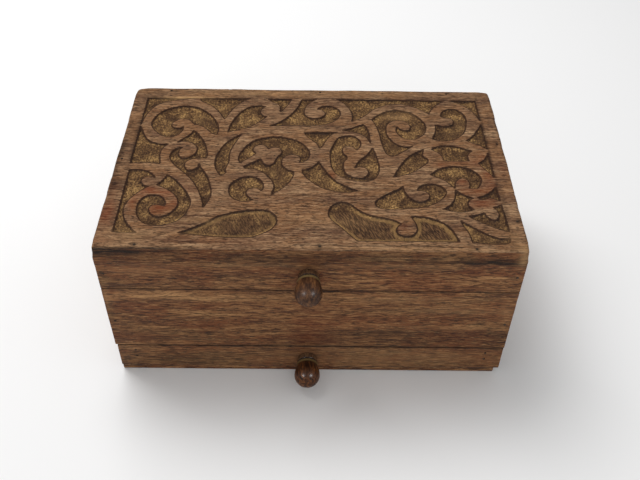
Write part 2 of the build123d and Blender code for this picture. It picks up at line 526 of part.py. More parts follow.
def make_lid_rails():
    heights = (LID_BOTTOM, PANEL_BOTTOM)
    screw_hole = rod((LID_KNOB_X, -HALF_D - 1, LID_KNOB_Z), (0, 1, 0), KNOB_SCREW, BOARD + 2)
    front = board((-HALF_W, HALF_W), (-HALF_D, FRONT_IN), heights)
    write("lid_front_rail", front - screw_hole - screw_recess(LID_KNOB_X, LID_KNOB_Z))
    write("lid_back_rail", board((-HALF_W, HALF_W), (BACK_IN, HALF_D), heights))
    write("lid_left_rail", board((-HALF_W, -SIDE_IN), (FRONT_IN, BACK_IN), heights))
    write("lid_right_rail", board((SIDE_IN, HALF_W), (FRONT_IN, BACK_IN), heights))


def make_lid_brads():
    """Nails down through the carved board into the rails, and through the rails' ends."""
    panel = []
    for x, y in ((-102, -79), (5, -79), (96, -80), (123.6, -56), (-102, 79), (5, 79), (96, 79),
                 (-123.4, 0), (123.4, 20)):
        panel.append(rod((x, y, BOX_HEIGHT), (0, 0, -1), BRAD_RADIUS, PANEL_BRAD_LENGTH))
    write("lid_panel_brads", *panel)
    rails = []
    height = LID_BOTTOM + 13
    for x in (-HALF_W + BOARD / 2, HALF_W - BOARD / 2):
        rails.append(rod((x, -HALF_D, height), (0, 1, 0), BRAD_RADIUS, BRAD_LENGTH))
        rails.append(rod((x, HALF_D, height), (0, -1, 0), BRAD_RADIUS, BRAD_LENGTH))
    write("lid_rail_brads", *rails)


def make_latch_keeper():
    return board(KEEPER_X, (FRONT_IN, FRONT_IN + 6), KEEPER_Z)


# ---------------------------------------------------------------- lid latch
def make_latch_bar():
    """An upright bar, hooked at the top, whose foot hangs in the floor's finger notch."""
    left = LATCH_X - LATCH_WIDTH / 2
    bar = board((left, LATCH_X + LATCH_WIDTH / 2), LATCH_Y, (CASE_BOTTOM - 0.3, LATCH_NOSE_Z[1]))
    nose = board((left, LATCH_X + LATCH_NOSE_REACH), LATCH_Y, LATCH_NOSE_Z)
    return bar + nose


# ---------------------------------------------------------------- knobs
def make_knob(x, z):
    """A turned knob on its spindle axis: foot collar, cove, rim, barrel and round end."""
    ball = KNOB_LENGTH - KNOB_RADIUS
    rim_start, rim_end, rim_radius = KNOB_RIM
    profile = [
        Line((0, 0), (0, KNOB_COLLAR[1])),
        Line((0, KNOB_COLLAR[1]), KNOB_COLLAR),
        ThreePointArc(KNOB_COLLAR, KNOB_NECK, (rim_start, rim_radius)),
        Line((rim_start, rim_radius), (rim_end, rim_radius)),
        Spline((rim_end, rim_radius), KNOB_SWELL, (ball, KNOB_RADIUS)),
        ThreePointArc((ball, KNOB_RADIUS),
                      (ball + KNOB_RADIUS * sin(radians(45)), KNOB_RADIUS * cos(radians(45))),
                      (KNOB_LENGTH, 0)),
        Line((KNOB_LENGTH, 0), (0, 0)),
    ]
    turned = revolve(make_face(profile), Axis.X, 360)
    return Pos(x, -HALF_D, z) * Rot(0, 0, -90) * turned


def screw_recess(x, z):
    return rod((x, FRONT_IN - RECESS_DEPTH, z), (0, 1, 0), KNOB_SCREW_HEAD + 0.2, RECESS_DEPTH + 1)


def make_knob_screw(x, z):
    """A round-head screw from the back of the board into the knob."""
    seat = FRONT_IN - RECESS_DEPTH
    head = rod((x, seat, z), (0, 1, 0), KNOB_SCREW_HEAD, SCREW_HEAD_THICK)
    shank = rod((x, seat - KNOB_SCREW_LENGTH, z), (0, 1, 0), KNOB_SCREW, KNOB_SCREW_LENGTH)
    cross = board((x - 2, x + 2), (seat + 1, FRONT_IN), (z - 0.4, z + 0.4))
    cross += board((x - 0.4, x + 0.4), (seat + 1, FRONT_IN), (z - 2, z + 2))
    return head + shank - cross


# ---------------------------------------------------------------- drawer
def make_drawer():
    side_z = (DRAWER_SIDE_BOTTOM, DRAWER_RIM)
    inner_left = DRAWER_LEFT + DRAWER_SIDE
    inner_right = DRAWER_RIGHT - DRAWER_SIDE
    back_in = DRAWER_END - DRAWER_SIDE
    front = board((PLINTH_LEFT, PLINTH_RIGHT), (-HALF_D, FRONT_IN), (FLOOR_BOARD + GAP, CASE_BOTTOM - GAP))
    screw_hole = rod((DRAWER_KNOB_X, -HALF_D - 1, DRAWER_KNOB_Z), (0, 1, 0), KNOB_SCREW, BOARD + 2)
    write("drawer_front", front - screw_hole - screw_recess(DRAWER_KNOB_X, DRAWER_KNOB_Z))
    write("drawer_left_side", board((DRAWER_LEFT, inner_left), (FRONT_IN, DRAWER_END), side_z))
    write("drawer_right_side", board((inner_right, DRAWER_RIGHT), (FRONT_IN, DRAWER_END), side_z))
    write("drawer_back", board((inner_left, inner_right), (back_in, DRAWER_END), (DRAWER_FLOOR, DRAWER_RIM)))
    write("drawer_bottom", board((inner_left, inner_right), (FRONT_IN, back_in),
                                 (DRAWER_FLOOR, DRAWER_FLOOR + DRAWER_BOARD)))
    write("drawer_stop", board(DRAWER_STOP_X, DRAWER_STOP_Y, (DRAWER_STOP_Z, DRAWER_FLOOR)))
    write("drawer_brads", *drawer_brads(inner_left, inner_right, back_in))


def drawer_brads(inner_left, inner_right, back_in):
    """Nails through the drawer's sides into its back, and through the front into its sides."""
    solids = []
    for z in (DRAWER_FLOOR + 5, DRAWER_RIM - 4):
        y = (back_in + DRAWER_END) / 2
        solids.append(rod((DRAWER_LEFT, y, z), (1, 0, 0), BRAD_RADIUS, BRAD_LENGTH - 4))
        solids.append(rod((DRAWER_RIGHT, y, z), (-1, 0, 0), BRAD_RADIUS, BRAD_LENGTH - 4))
        for x in (inner_left - DRAWER_SIDE / 2, inner_right + DRAWER_SIDE / 2):
            solids.append(rod((x, -HALF_D, z), (0, 1, 0), BRAD_RADIUS, BRAD_LENGTH))
    return solids


# ---------------------------------------------------------------- the whole box
def main():
    os.makedirs("parts", exist_ok=True)
    write("base_panel", make_base())
    make_plinth()
    make_case_walls()
    write("compartment_floor", make_compartment_floor())
    make_case_brads()
    write("drawer_limit_cleat", make_drawer_limit_cleat())
    write("latch_guides", *make_latch_guides())
    write("slide_plate", make_slide_plate())
    write("slide_peg", make_slide_peg())
    write("slide_guides", *make_slide_guides())
    make_hinges()
    write("carved_top_panel", make_carved_top())
    make_lid_rails()
    make_lid_brads()
    write("latch_keeper", make_latch_keeper())
    write("latch_bar", make_latch_bar())
    write("lid_knob", make_knob(LID_KNOB_X, LID_KNOB_Z))
    write("lid_knob_screw", make_knob_screw(LID_KNOB_X, LID_KNOB_Z))
    make_drawer()
    write("drawer_knob", make_knob(DRAWER_KNOB_X, DRAWER_KNOB_Z))
    write("drawer_knob_screw", make_knob_screw(DRAWER_KNOB_X, DRAWER_KNOB_Z))


main()
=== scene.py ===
"""Looks of the wooden puzzle box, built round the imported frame. Metres, the row's own frame."""

import json
import math

import bmesh
import bpy
import numpy as np
from mathutils import Matrix, Vector, kdtree


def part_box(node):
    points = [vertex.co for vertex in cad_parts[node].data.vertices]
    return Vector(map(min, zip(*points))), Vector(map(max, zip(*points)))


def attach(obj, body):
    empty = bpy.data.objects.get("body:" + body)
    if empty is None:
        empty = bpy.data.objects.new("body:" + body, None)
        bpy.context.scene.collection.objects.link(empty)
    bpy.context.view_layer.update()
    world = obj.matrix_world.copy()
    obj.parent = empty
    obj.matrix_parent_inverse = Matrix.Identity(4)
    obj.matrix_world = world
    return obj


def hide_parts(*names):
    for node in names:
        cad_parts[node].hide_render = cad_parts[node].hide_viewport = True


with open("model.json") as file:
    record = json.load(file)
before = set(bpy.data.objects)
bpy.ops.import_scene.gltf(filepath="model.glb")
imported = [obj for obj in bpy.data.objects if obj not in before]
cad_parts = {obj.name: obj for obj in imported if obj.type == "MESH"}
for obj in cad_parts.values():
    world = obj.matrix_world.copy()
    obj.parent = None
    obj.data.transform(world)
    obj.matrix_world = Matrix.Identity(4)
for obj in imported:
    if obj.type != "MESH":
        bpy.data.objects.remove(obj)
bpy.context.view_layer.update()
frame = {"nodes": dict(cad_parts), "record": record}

MM = 0.001
NODES = frame["nodes"]


# ---------------------------------------------------------------- noise for shapes
def lattice_noise(points, cell, seed):
    """Smooth noise from -1 to 1 at (n, k) points, with bumps about one cell wide."""
    table = np.random.default_rng(seed).uniform(-1, 1, 4096)
    scaled = np.asarray(points, float) / np.asarray(cell, float)
    base = np.floor(scaled).astype(np.int64)
    part = scaled - base
    part = part * part * (3 - 2 * part)
    primes = (73856093, 19349663, 83492791)
    total = np.zeros(len(scaled))
    for corner in range(2 ** scaled.shape[1]):
        weight = np.ones(len(scaled))
        key = np.full(len(scaled), seed, dtype=np.int64)
        for axis in range(scaled.shape[1]):
            bit = (corner >> axis) & 1
            weight *= part[:, axis] if bit else 1 - part[:, axis]
            key ^= (base[:, axis] + bit) * primes[axis]
        total += weight * table[key % 4096]
    return total


def smooth(value, low, high):
    """0 below low, 1 above high, and a smooth step between."""
    t = np.clip((value - low) / (high - low), 0, 1)
    return t * t * (3 - 2 * t)


def new_piece(name, points, faces, material, body, slot, *nodes):
    """A mesh piece that rides on a body and stands for the CAD nodes named."""
    mesh = bpy.data.meshes.new(name)
    mesh.from_pydata([tuple(p) for p in points], [], faces)
    mesh.update()
    mesh.polygons.foreach_set("use_smooth", [True] * len(mesh.polygons))
    piece = bpy.data.objects.new(name, mesh)
    bpy.context.scene.collection.objects.link(piece)
    mesh.materials.append(material)
    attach(piece, body)
    if nodes:
        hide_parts(*nodes)
    return piece


def paint(piece, name, values):
    """Stores one number per vertex, for the material to read."""
    attribute = piece.data.attributes.new(name, "FLOAT", "POINT")
    attribute.data.foreach_set("value", np.asarray(values, np.float32))


# ---------------------------------------------------------------- material helpers
def tone(red, green, blue):
    """A linear colour from display values of 0 to 255."""
    def linear(value):
        value /= 255
        return value / 12.92 if value <= 0.04045 else ((value + 0.055) / 1.055) ** 2.4
    return (linear(red), linear(green), linear(blue), 1.0)


class Shader:
    """A material with short calls for the nodes that it is made of."""

    def __init__(self, name, roughness, specular, metallic=0.0):
        self.material = bpy.data.materials.new(name)
        self.material.use_nodes = True
        self.tree = self.material.node_tree
        self.surface = self.tree.nodes["Principled BSDF"]
        self.surface.inputs["Roughness"].default_value = roughness
        self.surface.inputs["Specular IOR Level"].default_value = specular
        self.surface.inputs["Metallic"].default_value = metallic
        self.place = self.tree.nodes.new("ShaderNodeTexCoord").outputs["Object"]

    def feed(self, socket, value):
        """Links another node's output to a socket, or sets the socket to a fixed value."""
        if isinstance(value, bpy.types.NodeSocket):
            self.tree.links.new(value, socket)
        else:
            socket.default_value = value

    def spaced(self, size, shift=0.0):
        """The object's own coordinates in steps of size millimetres along X, Y and Z."""
        mapping = self.tree.nodes.new("ShaderNodeMapping")
        mapping.inputs["Scale"].default_value = [1 / (s * MM) for s in size]
        mapping.inputs["Location"].default_value = (shift, shift * 0.7, shift * 1.3)
        self.tree.links.new(self.place, mapping.inputs["Vector"])
        return mapping.outputs[0]

    def noise(self, size, detail, roughness, distortion=0.0, shift=0.0):
        """Noise whose marks are about size millimetres long along X, Y and Z."""
        place = self.spaced(size, shift)
        node = self.tree.nodes.new("ShaderNodeTexNoise")
        node.inputs["Scale"].default_value = 1.0
        node.inputs["Detail"].default_value = detail
        node.inputs["Roughness"].default_value = roughness
        node.inputs["Distortion"].default_value = distortion
        self.tree.links.new(place, node.inputs["Vector"])
        return node.outputs["Fac"]

    def hatching(self, length, width, turn):
        """Noise drawn out into strokes that lie at an angle to the Y axis, seen from above."""
        mapping = self.tree.nodes.new("ShaderNodeMapping")
        mapping.vector_type = "TEXTURE"
        mapping.inputs["Rotation"].default_value = (0, 0, math.radians(turn))
        mapping.inputs["Scale"].default_value = (width * MM, length * MM, length * MM)
        self.tree.links.new(self.place, mapping.inputs["Vector"])
        node = self.tree.nodes.new("ShaderNodeTexNoise")
        node.inputs["Scale"].default_value = 1.0
        node.inputs["Distortion"].default_value = 0.4
        self.tree.links.new(mapping.outputs[0], node.inputs["Vector"])
        return node.outputs["Fac"]

    def cells(self, size):
        """Distance to the nearest of scattered points, size millimetres apart."""
        place = self.spaced(size)
        node = self.tree.nodes.new("ShaderNodeTexVoronoi")
        node.inputs["Scale"].default_value = 1.0
        self.tree.links.new(place, node.inputs["Vector"])
        return node.outputs["Distance"]

    def attribute(self, name):
        """A number that paint() stored in the mesh."""
        node = self.tree.nodes.new("ShaderNodeAttribute")
        node.attribute_name = name
        return node.outputs["Fac"]

    def math(self, operation, first, second):
        """One step of arithmetic, on other nodes' outputs or fixed values."""
        node = self.tree.nodes.new("ShaderNodeMath")
        node.operation = operation
        self.feed(node.inputs[0], first)
        self.feed(node.inputs[1], second)
        return node.outputs[0]

    def plus(self, first, second):
        return self.math("ADD", first, second)

    def minus(self, first, second):
        return self.math("SUBTRACT", first, second)

    def times(self, first, second):
        return self.math("MULTIPLY", first, second)

    def step(self, value, low, high, start=0.0, end=1.0):
        """A smooth step from start, where value is low, to end, where it is high."""
        node = self.tree.nodes.new("ShaderNodeMapRange")
        node.interpolation_type = "SMOOTHSTEP"
        self.feed(node.inputs["Value"], value)
        for name, number in (("From Min", low), ("From Max", high), ("To Min", start), ("To Max", end)):
            node.inputs[name].default_value = number
        return node.outputs["Result"]

    def ramp(self, value, stops):
        """Colours between stops, each a value and the colour there."""
        node = self.tree.nodes.new("ShaderNodeValToRGB")
        elements = node.color_ramp.elements
        while len(elements) < len(stops):
            elements.new(0.5)
        for element, (position, colour) in zip(elements, stops):
            element.position = position
            element.color = colour
        self.feed(node.inputs["Fac"], value)
        return node.outputs["Color"]

    def mix(self, share, first, second):
        """The first colour, with a share of the second over it."""
        node = self.tree.nodes.new("ShaderNodeMix")
        node.data_type = "RGBA"
        self.feed(node.inputs["Factor"], share)
        self.feed(node.inputs["A"], first)
        self.feed(node.inputs["B"], second)
        return node.outputs["Result"]

    def bump(self, height, depth, strength):
        """Bump of depth millimetres."""
        node = self.tree.nodes.new("ShaderNodeBump")
        node.inputs["Strength"].default_value = strength
        node.inputs["Distance"].default_value = depth * MM
        self.feed(node.inputs["Height"], height)
        return node.outputs["Normal"]

    def finish(self, colour, normal=None, roughness=None):
        """Joins colour, bump and roughness to the surface, and returns the material."""
        self.feed(self.surface.inputs["Base Color"], colour)
        if normal is not None:
            self.feed(self.surface.inputs["Normal"], normal)
        if roughness is not None:
            self.feed(self.surface.inputs["Roughness"], roughness)
        return self.material


# ---------------------------------------------------------------- wood
# Tones of the red stain, the dark marks and the worn light patches. The dark tone also paints the shadow
# inside open joints and the shade along seams.
STAINS_AND_SHADE = {"red": (tone(108, 49, 22), 0.86), "dark": (tone(30, 18, 11), 1.0),
          "light": (tone(186, 146, 100), 1.0)}
# Six tones of a board: four from dark to light, the pores, and the tone that broad patches lean to
FRONT_TONES = [tone(66, 38, 22), tone(104, 67, 40), tone(129, 88, 54), tone(172, 128, 84), tone(30, 16, 9),
               tone(112, 62, 34)]
TOP_TONES = [tone(80, 53, 38), tone(113, 82, 59), tone(132, 99, 71), tone(173, 138, 103), tone(38, 24, 16),
             tone(132, 91, 57)]
INNER_TONES = [tone(112, 80, 52), tone(142, 106, 72), tone(160, 122, 86), tone(182, 144, 104),
               tone(76, 50, 30), tone(150, 106, 66)]


def along(axis, length, width):
    """Marks of that length along the grain and that width across it."""
    size = [width, width, width]
    size["XYZ".index(axis)] = length
    return size


def wood_colour(shader, axis, tones, shift, dash_size=(8.5, 1.05)):
    """Colour, height and streaks of a stained board: broad bands, streaks, fibres, short dark dashes and
    pores, all along the axis."""
    band = shader.noise(along(axis, 120, 10), 3.0, 0.6, 0.8, shift)
    streak = shader.noise(along(axis, 34, 2.2), 4.0, 0.65, 0.5, shift)
    fibre = shader.noise(along(axis, 10, 0.8), 3.0, 0.7, 0.2, shift)
    dash = shader.noise(along(axis, *dash_size), 2.0, 0.55, 0.2, shift + 2)
    pore = shader.noise(along(axis, 3.2, 0.65), 2.0, 0.6, 0.0, shift)
    patch = shader.noise((38, 16, 16), 2.0, 0.5, 0.6, shift + 4)
    blend = shader.plus(shader.times(band, 0.5), shader.times(streak, 0.5))
    darkest, dark, light, lightest, pore_tone, patch_tone = tones
    colour = shader.ramp(blend, [(0.36, darkest), (0.46, dark), (0.54, light), (0.64, lightest)])
    colour = shader.mix(shader.times(shader.step(patch, 0.42, 0.62), 0.6), colour, patch_tone)
    colour = shader.mix(shader.times(shader.step(fibre, 0.50, 0.66), 0.70), colour, lightest)
    colour = shader.mix(shader.times(shader.step(fibre, 0.50, 0.34), 0.65), colour, darkest)
    colour = shader.mix(shader.times(shader.step(dash, 0.53, 0.63), 0.70), colour, pore_tone)
    pores = shader.step(pore, 0.55, 0.65)
    colour = shader.mix(shader.times(pores, 0.60), colour, pore_tone)
    height = shader.minus(shader.times(fibre, 0.5), shader.times(pores, 0.7))
    return colour, height, streak


def stained(shader, colour, kinds=("red", "dark", "light")):
    """Adds the red, dark and worn light patches, their edges broken up by the grain. The dark ones are
    stain in places and painted shade in others: shadow inside open joints and shade along seams. The table
    above gives the tone of each kind and how much of the wood it covers where it is strongest."""
    grain = shader.step(shader.noise((12, 1.3, 1.3), 3.0, 0.7), 0.30, 0.62, 0.45, 1.15)
    for kind in kinds:
        stain, cover = STAINS_AND_SHADE[kind]
        share = shader.times(shader.attribute(kind), shader.times(grain, cover))
        colour = shader.mix(share, colour, stain)
    return colour


def board_material(name, axis, tones, shift, roughness=0.62, specular=0.16):
    """Stained wood with its grain along the axis. shift keeps boards from having the same grain."""
    shader = Shader(name, roughness, specular)
    colour, height, streak = wood_colour(shader, axis, tones, shift)
    colour = stained(shader, colour)
    normal = shader.bump(height, 0.22, 0.7)
    rough = shader.step(streak, 0.3, 0.7, roughness - 0.08, roughness + 0.12)
    return shader.finish(colour, normal, rough)


def pocket_floor(shader, edge, grit, patch, ragged, strokes):
    """Colour of the pockets' floors: speckled, and with combed strokes and a paler rim, a painted
    highlight, in the wings.
    """
    speck = shader.noise((1.2, 1.3, 1.3), 2.0, 0.6, 0.0, 8.0)
    cloud = shader.noise((17, 17, 17), 2.0, 0.5, 0.4, 3.0)
    blend = shader.plus(shader.times(grit, 0.60), shader.times(patch, 0.40))
    floor = shader.ramp(blend, [(0.37, tone(44, 28, 18)), (0.45, tone(82, 58, 37)),
                                (0.53, tone(112, 83, 52)), (0.65, tone(178, 140, 88))])
    floor = shader.mix(shader.times(shader.step(speck, 0.54, 0.64), 0.75), floor, tone(32, 20, 13))
    floor = shader.mix(shader.times(shader.step(strokes, 0.50, 0.38), 0.35), floor, tone(48, 31, 20))
    floor = shader.mix(shader.times(shader.step(cloud, 0.50, 0.66), 0.40), floor, tone(66, 46, 32))
    comb = shader.attribute("comb")
    comb_edge = shader.plus(edge, shader.times(ragged, 3.0))
    comb_edge = shader.plus(comb_edge, shader.times(patch, 4.0))
    # Painted highlight: a paler golden band along the rims of the combed pockets.
    rim = shader.times(comb, shader.step(comb_edge, 7.4, 5.4))
    floor = shader.mix(shader.times(rim, 0.30), floor, tone(176, 138, 86))
    wing = shader.ramp(shader.hatching(4.5, 0.75, 24), [(0.38, tone(34, 22, 15)), (0.49, tone(64, 43, 30)),
                                                        (0.62, tone(112, 82, 54))])
    combed = shader.times(comb, shader.step(comb_edge, 5.2, 6.6))
    return shader.mix(shader.times(combed, 0.80), floor, wing)


def outline_and_painted_shade(shader, colour, edge, grit, ragged):
    """Adds the dark ragged line along the pockets' walls: dark colour in the carving's corners, with
    painted shade over it. At back and left walls, where the shade falls, it reaches further into the pocket
    and is darker, at the others further out."""
    shade = shader.attribute("shade")
    line = shader.plus(shader.times(shader.minus(ragged, 0.5), -1.0), edge)
    # Painted shade: shade widens the line into the pocket and darkens it at back and left walls.
    inward = shader.minus(line, shader.times(shade, 0.30))
    outward = shader.minus(line, shader.times(shade, 0.45))
    share = shader.times(shader.step(inward, 0.45, 0.05), shader.step(outward, -1.15, -0.65))
    strength = shader.plus(shader.times(shade, 0.06), 0.86)
    outline = shader.mix(shader.step(grit, 0.3, 0.7), tone(26, 15, 9), tone(54, 31, 19))
    return shader.mix(shader.times(share, strength), colour, outline)


def carved_material():
    """The carved board: smooth stained wood above, speckled chiselled floors in the pockets. The edge
    attribute is the distance from the nearest pocket's outline in millimetres, positive inside."""
    shader = Shader("carved_wood", 0.64, 0.14)
    edge = shader.attribute("edge")
    plain, height, _ = wood_colour(shader, "X", TOP_TONES, 3.1, (6.0, 0.85))
    side, _, _ = wood_colour(shader, "X", FRONT_TONES, 0.0)
    plain = stained(shader, shader.mix(shader.attribute("side"), plain, side), ["red"])
    grit = shader.noise((1.2, 1.5, 1.5), 3.0, 0.75)
    patch = shader.noise((8, 8, 8), 2.0, 0.5, 0.3, 5.0)
    ragged = shader.noise((2.5, 2.5, 2.5), 3.0, 0.6, 0.0, 2.0)
    strokes = shader.noise((0.9, 3.6, 3.6), 2.0, 0.6, 0.6, 6.0)
    floor = pocket_floor(shader, edge, grit, patch, ragged, strokes)
    colour = shader.mix(shader.step(edge, 0.0, 0.4), plain, floor)
    colour = outline_and_painted_shade(shader, colour, edge, grit, ragged)
    colour = stained(shader, colour, ["dark", "light"])
    stipple = shader.cells((1.5, 1.7, 1.7))
    floor_height = shader.plus(shader.times(stipple, 0.6), shader.times(strokes, 0.7))
    heights = shader.tree.nodes.new("ShaderNodeMix")
    shader.feed(heights.inputs["Factor"], shader.step(edge, 0.0, 0.5))
    shader.feed(heights.inputs["A"], height)
    shader.feed(heights.inputs["B"], floor_height)
    normal = shader.bump(heights.outputs["Result"], 0.40, 0.9)
    return shader.finish(colour, normal, shader.step(grit, 0.3, 0.7, 0.6, 0.78))


DRAWER_KNOB_TONES = [tone(36, 20, 12), tone(74, 43, 24), tone(104, 62, 33), tone(140, 88, 44)]
LID_KNOB_TONES = [tone(46, 28, 18), tone(76, 48, 30), tone(96, 63, 38), tone(114, 77, 46)]


def knob_material(name, tones, roughness, coat_roughness):
    """Varnished turned wood, its grain along the spindle. tones run from dark to light. The olive band on
    the rim is a painted highlight and the near black of the groove a painted shade.
    """
    shader = Shader(name, roughness, 0.12)
    shader.surface.inputs["Coat Weight"].default_value = 0.12
    shader.surface.inputs["Coat Roughness"].default_value = coat_roughness
    streak = shader.noise((2.2, 12, 3.0), 3.0, 0.65, 0.8)
    fibre = shader.noise((0.6, 4, 0.6), 2.0, 0.6)
    colour = shader.ramp(streak, list(zip((0.36, 0.48, 0.57, 0.68), tones)))
    colour = shader.mix(shader.times(shader.step(fibre, 0.45, 0.65), 0.60), colour, tone(44, 26, 16))
    # Painted highlight: the olive band stands for the rim's lit shoulder edge.
    colour = shader.mix(shader.attribute("rim"), colour, tone(118, 98, 62))
    foot = shader.mix(shader.step(fibre, 0.4, 0.6), tone(108, 76, 46), tone(72, 46, 28))
    colour = shader.mix(shader.attribute("collar"), colour, foot)
    # Painted shade: the groove is near black.
    colour = shader.mix(shader.attribute("groove"), colour, tone(20, 12, 8))
    normal = shader.bump(fibre, 0.06, 0.5)
    dull = shader.plus(shader.attribute("collar"), shader.attribute("groove"))
    return shader.finish(colour, normal, shader.step(dull, 0.0, 0.8, roughness, 0.85))


def metal_material(name, bright, dull, roughness):
    """Aged metal with tarnish in patches and fine scratches."""
    shader = Shader(name, roughness, 0.5, 1.0)
    tarnish = shader.noise((2.6, 2.6, 2.6), 5.0, 0.62, 0.3)
    scratch = shader.noise((6, 0.2, 0.2), 2.0, 0.5)
    colour = shader.mix(shader.step(tarnish, 0.30, 0.78), bright, dull)
    rough = shader.step(tarnish, 0.3, 0.7, roughness - 0.08, roughness + 0.22)
    return shader.finish(colour, shader.bump(scratch, 0.03, 0.4), rough)


# ---------------------------------------------------------------- boards
EDGE_STATIONS = (0.0, 0.15, 0.4, 0.8, 1.3, 2.0, 3.0)  # millimetres in from a board's face
GLUE_REACH = 3.5 * MM    # how near a glue line the edges stay crisp
STAIN_AND_SHADE_LIMIT = 0.95


def stations(low, high, step):
    """Places of the mesh lines between two faces, closer together near the rounded edges."""
    inset = [s * MM for s in EDGE_STATIONS if s * MM < (high - low) * 0.45]
    inner_low, inner_high = low + inset[-1], high - inset[-1]
    count = max(1, round((inner_high - inner_low) / step))
    middle = [inner_low + (inner_high - inner_low) * i / count for i in range(1, count)]
    return np.array([low + s for s in inset] + middle + [high - s for s in reversed(inset)])


def box_shell(xs, ys, zs):
    """Points and faces of a box's surface, with mesh lines at the given places."""
    counts = (len(xs), len(ys), len(zs))
    axes = (xs, ys, zs)
    index, points, faces = {}, [], []

    def point(key):
        if key not in index:
            index[key] = len(points)
            points.append([axes[a][key[a]] for a in range(3)])
        return index[key]

    for axis in range(3):
        u, v = (axis + 1) % 3, (axis + 2) % 3
        for end in (0, counts[axis] - 1):
            for i in range(counts[u] - 1):
                for j in range(counts[v] - 1):
                    corner = []
                    for di, dj in ((0, 0), (1, 0), (1, 1), (0, 1)):
                        key = [0, 0, 0]
                        key[axis], key[u], key[v] = end, i + di, j + dj
                        corner.append(point(tuple(key)))
                    faces.append(corner if end else corner[::-1])
    return np.array(points), faces


def round_edges(points, low, high, radius):
    """Moves the points of a box's surface so that its edges are round, with a radius for each point.
    Returns the points and their outward directions."""
    low, high = np.array(low), np.array(high)
    limit = (high - low).min() * 0.49
    r = np.minimum(radius, limit)[:, None]
    core = np.clip(points, low + r, high - r)
    out = points - core
    length = np.linalg.norm(out, axis=1, keepdims=True)
    out = out / np.maximum(length, 1e-9)
    return core + out * r, out


def worn_radius(points, radius, seed):
    """Edge radius that changes along the edges, as wear does."""
    change = lattice_noise(points, 14 * MM, seed)
    nick = smooth(lattice_noise(points, 6 * MM, seed + 1), 0.55, 0.85)
    return radius * MM * (1 + 0.45 * change + 0.8 * nick)


def blotches(points, axes, marks):
    """Painted patches: each mark is a centre and a half size along two axes in millimetres, and a strength.
    Where marks overlap their strengths add up, to STAIN_AND_SHADE_LIMIT at the most."""
    total = np.zeros(len(points))
    wobble = 1 + 0.35 * lattice_noise(points, 4 * MM, 77)
    for (cu, cv), (hu, hv), strength in marks:
        du = (points[:, axes[0]] / MM - cu) / hu
        dv = (points[:, axes[1]] / MM - cv) / hv
        total += strength * np.exp(-(du * du + dv * dv) * wobble * 1.2)
    return np.clip(total, 0, STAIN_AND_SHADE_LIMIT)


# Dark marks of the front: streaks of stain, and painted shadow, where the black line along the lid's top
# left edge and the line along the opened glue line at the right stand for the shade inside open joints.
FRONT_DARK_AND_SHADOW = [  # (x, z), half sizes, strength
    ((-104, 112.0), (27, 1.7), 0.95), ((-112, 110.8), (17, 1.3), 0.90), ((-86, 109.2), (15, 0.8), 0.75),
    ((-76, 107.4), (9, 0.8), 0.60), ((-90, 12), (34, 4.0), 0.25), ((-112, 45), (14, 3), 0.25),
    ((112, 42), (16, 3), 0.30), ((-118, 112), (16, 2.0), 0.7), ((-50, 108), (60, 1.7), 0.60),
    ((20, 109.5), (60, 3.6), 0.50), ((70, 107.5), (55, 3.0), 0.55), ((112, 106.0), (16, 2.2), 0.85),
    ((104, 104.5), (24, 1.0), 0.75), ((-20, 104), (80, 2.4), 0.35), ((-110, 103), (16, 3), 0.45),
    ((122.0, 93), (1.7, 1.5), 0.85), ((122.5, 49), (1.8, 1.6), 0.80), ((107.5, 50), (2.4, 1.7), 0.80),
    ((122.5, 15), (1.9, 1.7), 0.80), ((-90, 20), (2.4, 3.5), 0.55), ((106, 12), (3, 1.6), 0.55),
    ((60, 40), (70, 3.0), 0.50), ((70, 33), (60, 2.2), 0.45), ((-80, 39), (50, 3.4), 0.45),
    ((-70, 32), (60, 1.8), 0.40), ((-30, 16), (100, 2.2), 0.40), ((-80, 10), (50, 2.0), 0.40),
    ((10, 80), (14, 2), 0.50), ((-120, 86), (8, 6), 0.35), ((-124, 56), (3, 8), 0.45),
    ((30, 27), (120, 1.0), 0.35), ((-60, 7), (60, 1.2), 0.45), ((-75, 82), (50, 1.0), 0.45),
    ((-30, 55), (90, 0.7), 0.30), ((60, 56.5), (60, 0.6), 0.30), ((15, 98), (100, 1.0), 0.28),
    ((-60, 90), (60, 1.4), 0.25), ((70, 67), (50, 1.0), 0.22), ((-90, 69), (30, 1.2), 0.25),
    ((100, 21), (26, 2.0), 0.20), ((-112, 18), (12, 6), 0.35), ((0, 79.0), (128, 0.7), 0.55),
    ((0, 81.0), (128, 0.6), 0.35), ((0, 26.6), (128, 0.7), 0.50), ((-60, 48), (60, 1.2), 0.35),
    ((-70, 60), (50, 0.9), 0.30), ((50, 62), (60, 0.8), 0.30), ((0, 38), (30, 9), 0.22),
    ((-124.0, 94), (1.6, 1.4), 0.80), ((-123.0, 51), (1.7, 1.4), 0.75), ((-121.5, 12), (2.6, 2.1), 0.90),
    ((114, 109), (0.5, 3.2), 0.55),
]
FRONT_RED = [
    ((-70, 66), (40, 3), 0.30), ((-110, 34), (18, 5), 0.35), ((0, 36), (22, 10), 0.25),
    ((90, 96), (30, 3), 0.20), ((-40, 96), (40, 3), 0.22), ((60, 14), (60, 3), 0.20),
    ((0, 106), (12, 5), 0.40), ((1, 44), (14, 16), 0.45), ((-100, 98), (22, 6), 0.30),
    ((60, 88), (60, 6), 0.20), ((20, 66), (40, 7), 0.18), ((112, 18), (9, 8), 0.30),
    ((-10, 20), (14, 8), 0.30), ((-60, 80), (40, 3), 0.25), ((-60, 47), (40, 4), 0.20),
]
